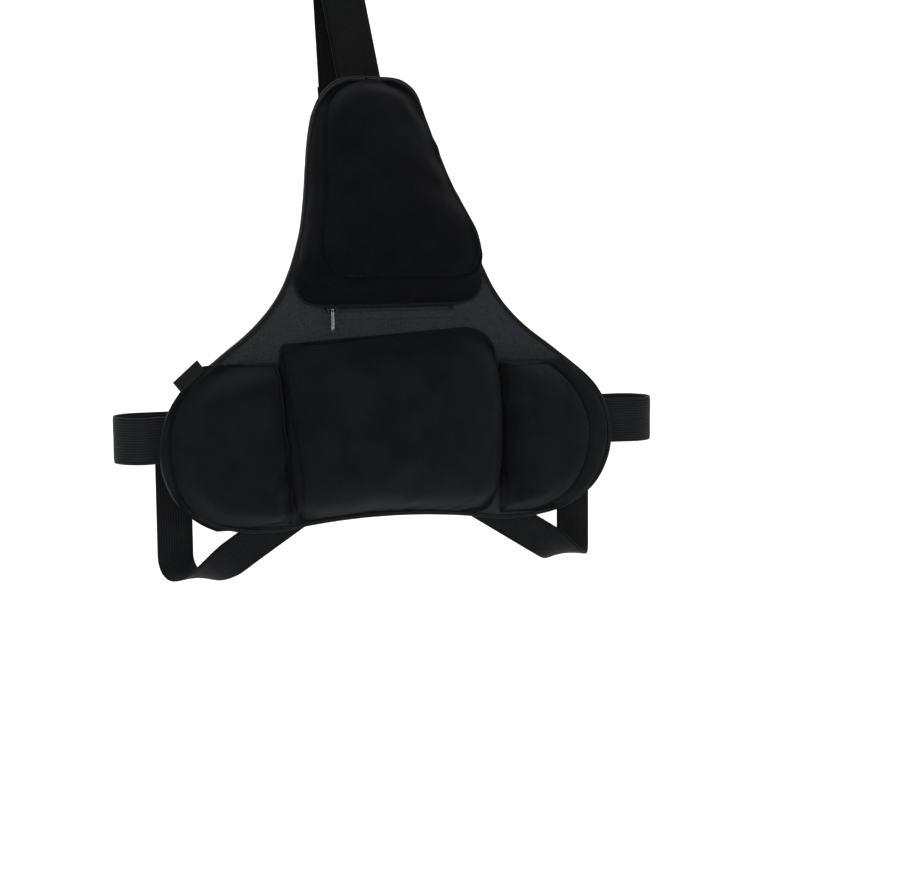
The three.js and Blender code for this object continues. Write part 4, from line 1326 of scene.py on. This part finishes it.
def top_strap_path():
    """From behind the top of the panel, over the backrest, and down to the top of its loop."""
    low, high = node_box("top_strap_front")
    fold_low, fold_high = node_box("top_strap_fold")
    lean_normal = np.array([0, -math.cos(LEAN), math.sin(LEAN)])
    lean_up = np.array([0, math.sin(LEAN), math.cos(LEAN)])
    root_s = unbend([[0, low[1], low[2]]])[0][1]
    top_s = unbend([[0, high[1], high[2]]])[0][1]
    root_x, fold_x = high[0] - WIDE / 2, (fold_low[0] + fold_high[0]) / 2
    stations = []
    for share in np.linspace(0, 1, 12):
        s = root_s + (top_s - root_s) * share
        x = root_x + (fold_x - root_x) * share
        stations.append((bend(x - sway(s), s, STRAP_DEPTH), lean_normal))
    top, foot, _, facing = top_strap_frame()
    start = stations[-1][0]
    centre = (start + top) / 2
    radius = np.linalg.norm(top - start) / 2
    for angle in np.linspace(0, math.pi, 15)[1:]:
        out = lean_normal * math.cos(angle) + lean_up * math.sin(angle)
        stations.append((centre + out * radius, out))
    stations.append((foot, facing))
    return resample(stations, 3 * MM)


def top_loop_path():
    """The loop at the top strap's foot, round the left side strap."""
    low, high = node_box("top_strap_loop")
    _, foot, down, facing = top_strap_frame()
    middle = foot[0]
    rear_y, front_y = high[1] - THICK / 2, low[1] + THICK / 2
    radius = (rear_y - front_y) / 2
    turn_z = low[2] + radius + THICK / 2
    open_z = high[2] - 20 * MM
    stations = [(foot + down * 0.4 * MM, facing), (np.array([middle, rear_y, open_z]), REAR)]
    for angle in np.linspace(0, math.pi, 11):
        out = np.array([0, math.cos(angle), -math.sin(angle)])
        stations.append((np.array([middle, (rear_y + front_y) / 2, turn_z]) + out * radius, out))
    stations.append((np.array([middle, front_y, open_z - 5 * MM]), FRONT))
    inner = -facing * (THICK + 0.4 * MM)
    stations.append((foot + down * 12 * MM + inner, -facing))
    stations.append((foot + down * 0.4 * MM + inner, -facing))
    return resample(stations, 2.5 * MM)


def top_tail_path():
    """The top strap's free end, lying behind it."""
    low, high = node_box("top_strap_tail")
    _, _, down, facing = top_strap_frame()
    middle = np.array([(low[0] + high[0]) / 2, (low[1] + high[1]) / 2, (low[2] + high[2]) / 2])
    half = (high[2] - low[2]) / 2 / abs(down[2]) - THICK * abs(down[1])
    return resample([(middle - down * half, facing), (middle + down * half, facing)], 3 * MM)


def straight_path(node):
    """A tail that runs straight along X."""
    low, high = node_box(node)
    y = (low[1] + high[1]) / 2
    return resample([(np.array([low[0], y, 0]), REAR), (np.array([high[0], y, 0]), REAR)], 3 * MM)


def make_strap(name, stations, width, material, nodes, body="cushion"):
    obj = ribbon_object(name, stations, width, material)
    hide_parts(*nodes)
    if body:
        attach(obj, body)
    return obj


def band_line(stations, places, sign):
    """Points on a strap's face from (distance along, distance across) places, and their outward way."""
    points, facing = (np.array(part) for part in zip(*stations))
    side = unit(np.cross(facing, np.gradient(points, axis=0)))
    line = chain_points(np.array(places, float), 1.0 * MM)
    p, f, w = (read_along(line[:, 0], travel(points), source) for source in (points, facing, side))
    out = sign * unit(f)
    return p + w * line[:, 1:] + out * THICK / 2, out


def sew(name, stations, width, sign, material, boxes=(), rows=(), body="cushion"):
    """Crossed boxes (start, end) and rows across (distance) sewn on a strap's face.

    sign is 1 for the strap's outer face and -1 for the other."""
    half = width / 2 - 4 * MM
    length = travel(np.array([point for point, _ in stations]))[-1]
    lines = []
    for start, end in boxes:
        start, end = (v * MM if v >= 0 else length + v * MM for v in (start, end))
        lines.append([(start, -half), (end, -half), (end, half), (start, half), (start, -half)])
        lines.append([(start, -half), (end, half)])
        lines.append([(start, half), (end, -half)])
    for row in rows:
        at = row * MM if row >= 0 else length + row * MM
        lines.append([(at, -half), (at, half)])
    runs = []
    for line in lines:
        points, out = band_line(stations, line, sign)
        runs += stitch_line(points, out, 2.6 * MM)
    make_stitches(name, runs, material, body, radius=0.3 * MM)


# --- Build ------------------------------------------------------------------------------------------
add_camera()
add_stage()

PAD_CLOTH = pad_fabric("pad_fabric", 1)
# The upper pad wears the same fabric at 0.65 of its tone: painted shade, as the pad leans back towards the
# light above.
UPPER_CLOTH_PAINTED_SHADE = pad_fabric("upper_pad_fabric_painted_shade", 0.65)
MESH_CLOTH = mesh_fabric()
WEBBING = webbing_fabric("webbing", 0.0075, 0.08, WIDE)
# The top strap's webbing is the side straps' webbing made darker: painted shade, as the strap faces the
# light from above.
WEBBING_PAINTED_SHADE = webbing_fabric("webbing_painted_shade", 0.0036, 0.045, WIDE)
WEBBING_NARROW = webbing_fabric("webbing_narrow", 0.0056, 0.07, NARROW)
TAPE = tape_fabric()
THREAD = fine_grain(
    "thread", 0.55, 2.5, (grey(0.007, 0.1), grey(0.018, 0.14)), (0.45, 0.65), 0.1, sheen=0.05, specular=0.2
)
PLASTIC = moulded_plastic()
NICKEL = plated_metal("nickel", 0.34, 0.2)
GUNMETAL = plated_metal("gunmetal", 0.028, 0.012)
LABEL = label_satin()
COIL = fine_grain("nylon_coil", 0.36, 2.0, (grey(0.008, 0.06), grey(0.016, 0.08)), (0.28, 0.46), 0.04)
BOARD = board_sheet()


def repaint(node, material, bevel=None):
    """A frame node kept as it is, with its own material and, for hard parts, softened edges."""
    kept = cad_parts[node]
    kept.data.materials.clear()
    kept.data.materials.append(material)
    if bevel:
        modifier = kept.modifiers.new("edges", "BEVEL")
        modifier.width = bevel
        modifier.segments = 3
        modifier.limit_method = "ANGLE"
        modifier.angle_limit = math.radians(35)
        modifier.harden_normals = False


repaint("backing_stiffener", BOARD)
for node in ("buckle_socket", "buckle_plug", "left_adjuster", "right_adjuster", "top_adjuster"):
    repaint(node, PLASTIC, 0.7 * MM)
for node in ("zip_slider", "zip_stop_left", "zip_stop_right"):
    repaint(node, GUNMETAL, 0.25 * MM)

layers = (4.4 * MM, 6.0 * MM), (0.3 * MM, 1.5 * MM)
make_panel("back_panel_front", "backing_front_panel", True, layers[0], (190, 190), MESH_CLOTH, front_relief)
make_panel("back_panel_rear", "backing_rear_panel", False, layers[1], (60, 70), MESH_CLOTH)

edge_at, edge_inward, edge_length = closed_loop("edge_binding", True, 520)
make_binding(edge_at, edge_inward, edge_length, TAPE)
for word, depth, facing in (("front", 7.25 * MM, 1), ("rear", 0.0, -1)):
    u, s = (edge_at + edge_inward * 2.3 * MM).T
    out = facing * surface_normal(u, s)
    runs = stitch_line(place(u, s, depth), out, 3.2 * MM)
    make_stitches(f"edge_stitches_{word}", runs, THREAD, radius=0.26 * MM)

for pad in PADS:
    base_line = make_pad(pad, UPPER_CLOTH_PAINTED_SHADE if pad.name == "upper_pad" else PAD_CLOTH)
    if pad.name == "upper_pad":
        make_cord(base_line, TAPE)

make_tape("zip_tape_top", "zip_tape_upper", TAPE, 2)
make_tape("zip_tape_bottom", "zip_tape_lower", MESH_CLOTH, 6)
make_coil(COIL)
make_pull(NICKEL, PLASTIC)
make_label(LABEL, THREAD)

for word in ("left", "right"):
    path = side_strap_path(word)
    strap = make_strap(f"{word}_side_strap", path, WIDE, WEBBING, strap_nodes(f"{word}_strap"), None)
    if word == "left":
        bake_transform(strap)
    else:
        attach(strap, "cushion")
    sew(f"{word}_side_strap_stitches", path, WIDE, -1, THREAD, boxes=[(3, 22)])
    path = lower_strap_path(word)
    make_strap(f"lower_{word}_strap", path, NARROW, WEBBING_NARROW, strap_nodes(f"lower_{word}_strap"))
    sew(f"lower_{word}_strap_stitches", path, NARROW, -1, THREAD, boxes=[(3, 21)])

path = straight_path("left_strap_tail")
make_strap("left_strap_free_end", path, WIDE, WEBBING, ["left_strap_tail"], "buckle_plug")
sew("left_free_end_stitches", path, WIDE, 1, THREAD, rows=[3, 12], body="buckle_plug")
path = straight_path("right_strap_tail")
make_strap("right_strap_free_end", path, WIDE, WEBBING, ["right_strap_tail"])
sew("right_free_end_stitches", path, WIDE, 1, THREAD, rows=[-3, -12])

path = top_strap_path()
make_strap("top_strap", path, WIDE, WEBBING_PAINTED_SHADE, strap_nodes("top_strap"))
sew("top_strap_stitches", path, WIDE, -1, THREAD, boxes=[(3, 22)])
path = top_tail_path()
make_strap("top_strap_free_end", path, WIDE, WEBBING_PAINTED_SHADE, ["top_strap_tail"])
sew("top_free_end_stitches", path, WIDE, 1, THREAD, rows=[-3, -12])
path = top_loop_path()
make_strap("top_strap_foot", path, WIDE, WEBBING_PAINTED_SHADE, ["top_strap_loop"])
sew("top_strap_foot_stitches", path, WIDE, 1, THREAD, boxes=[(1.5, 12)])
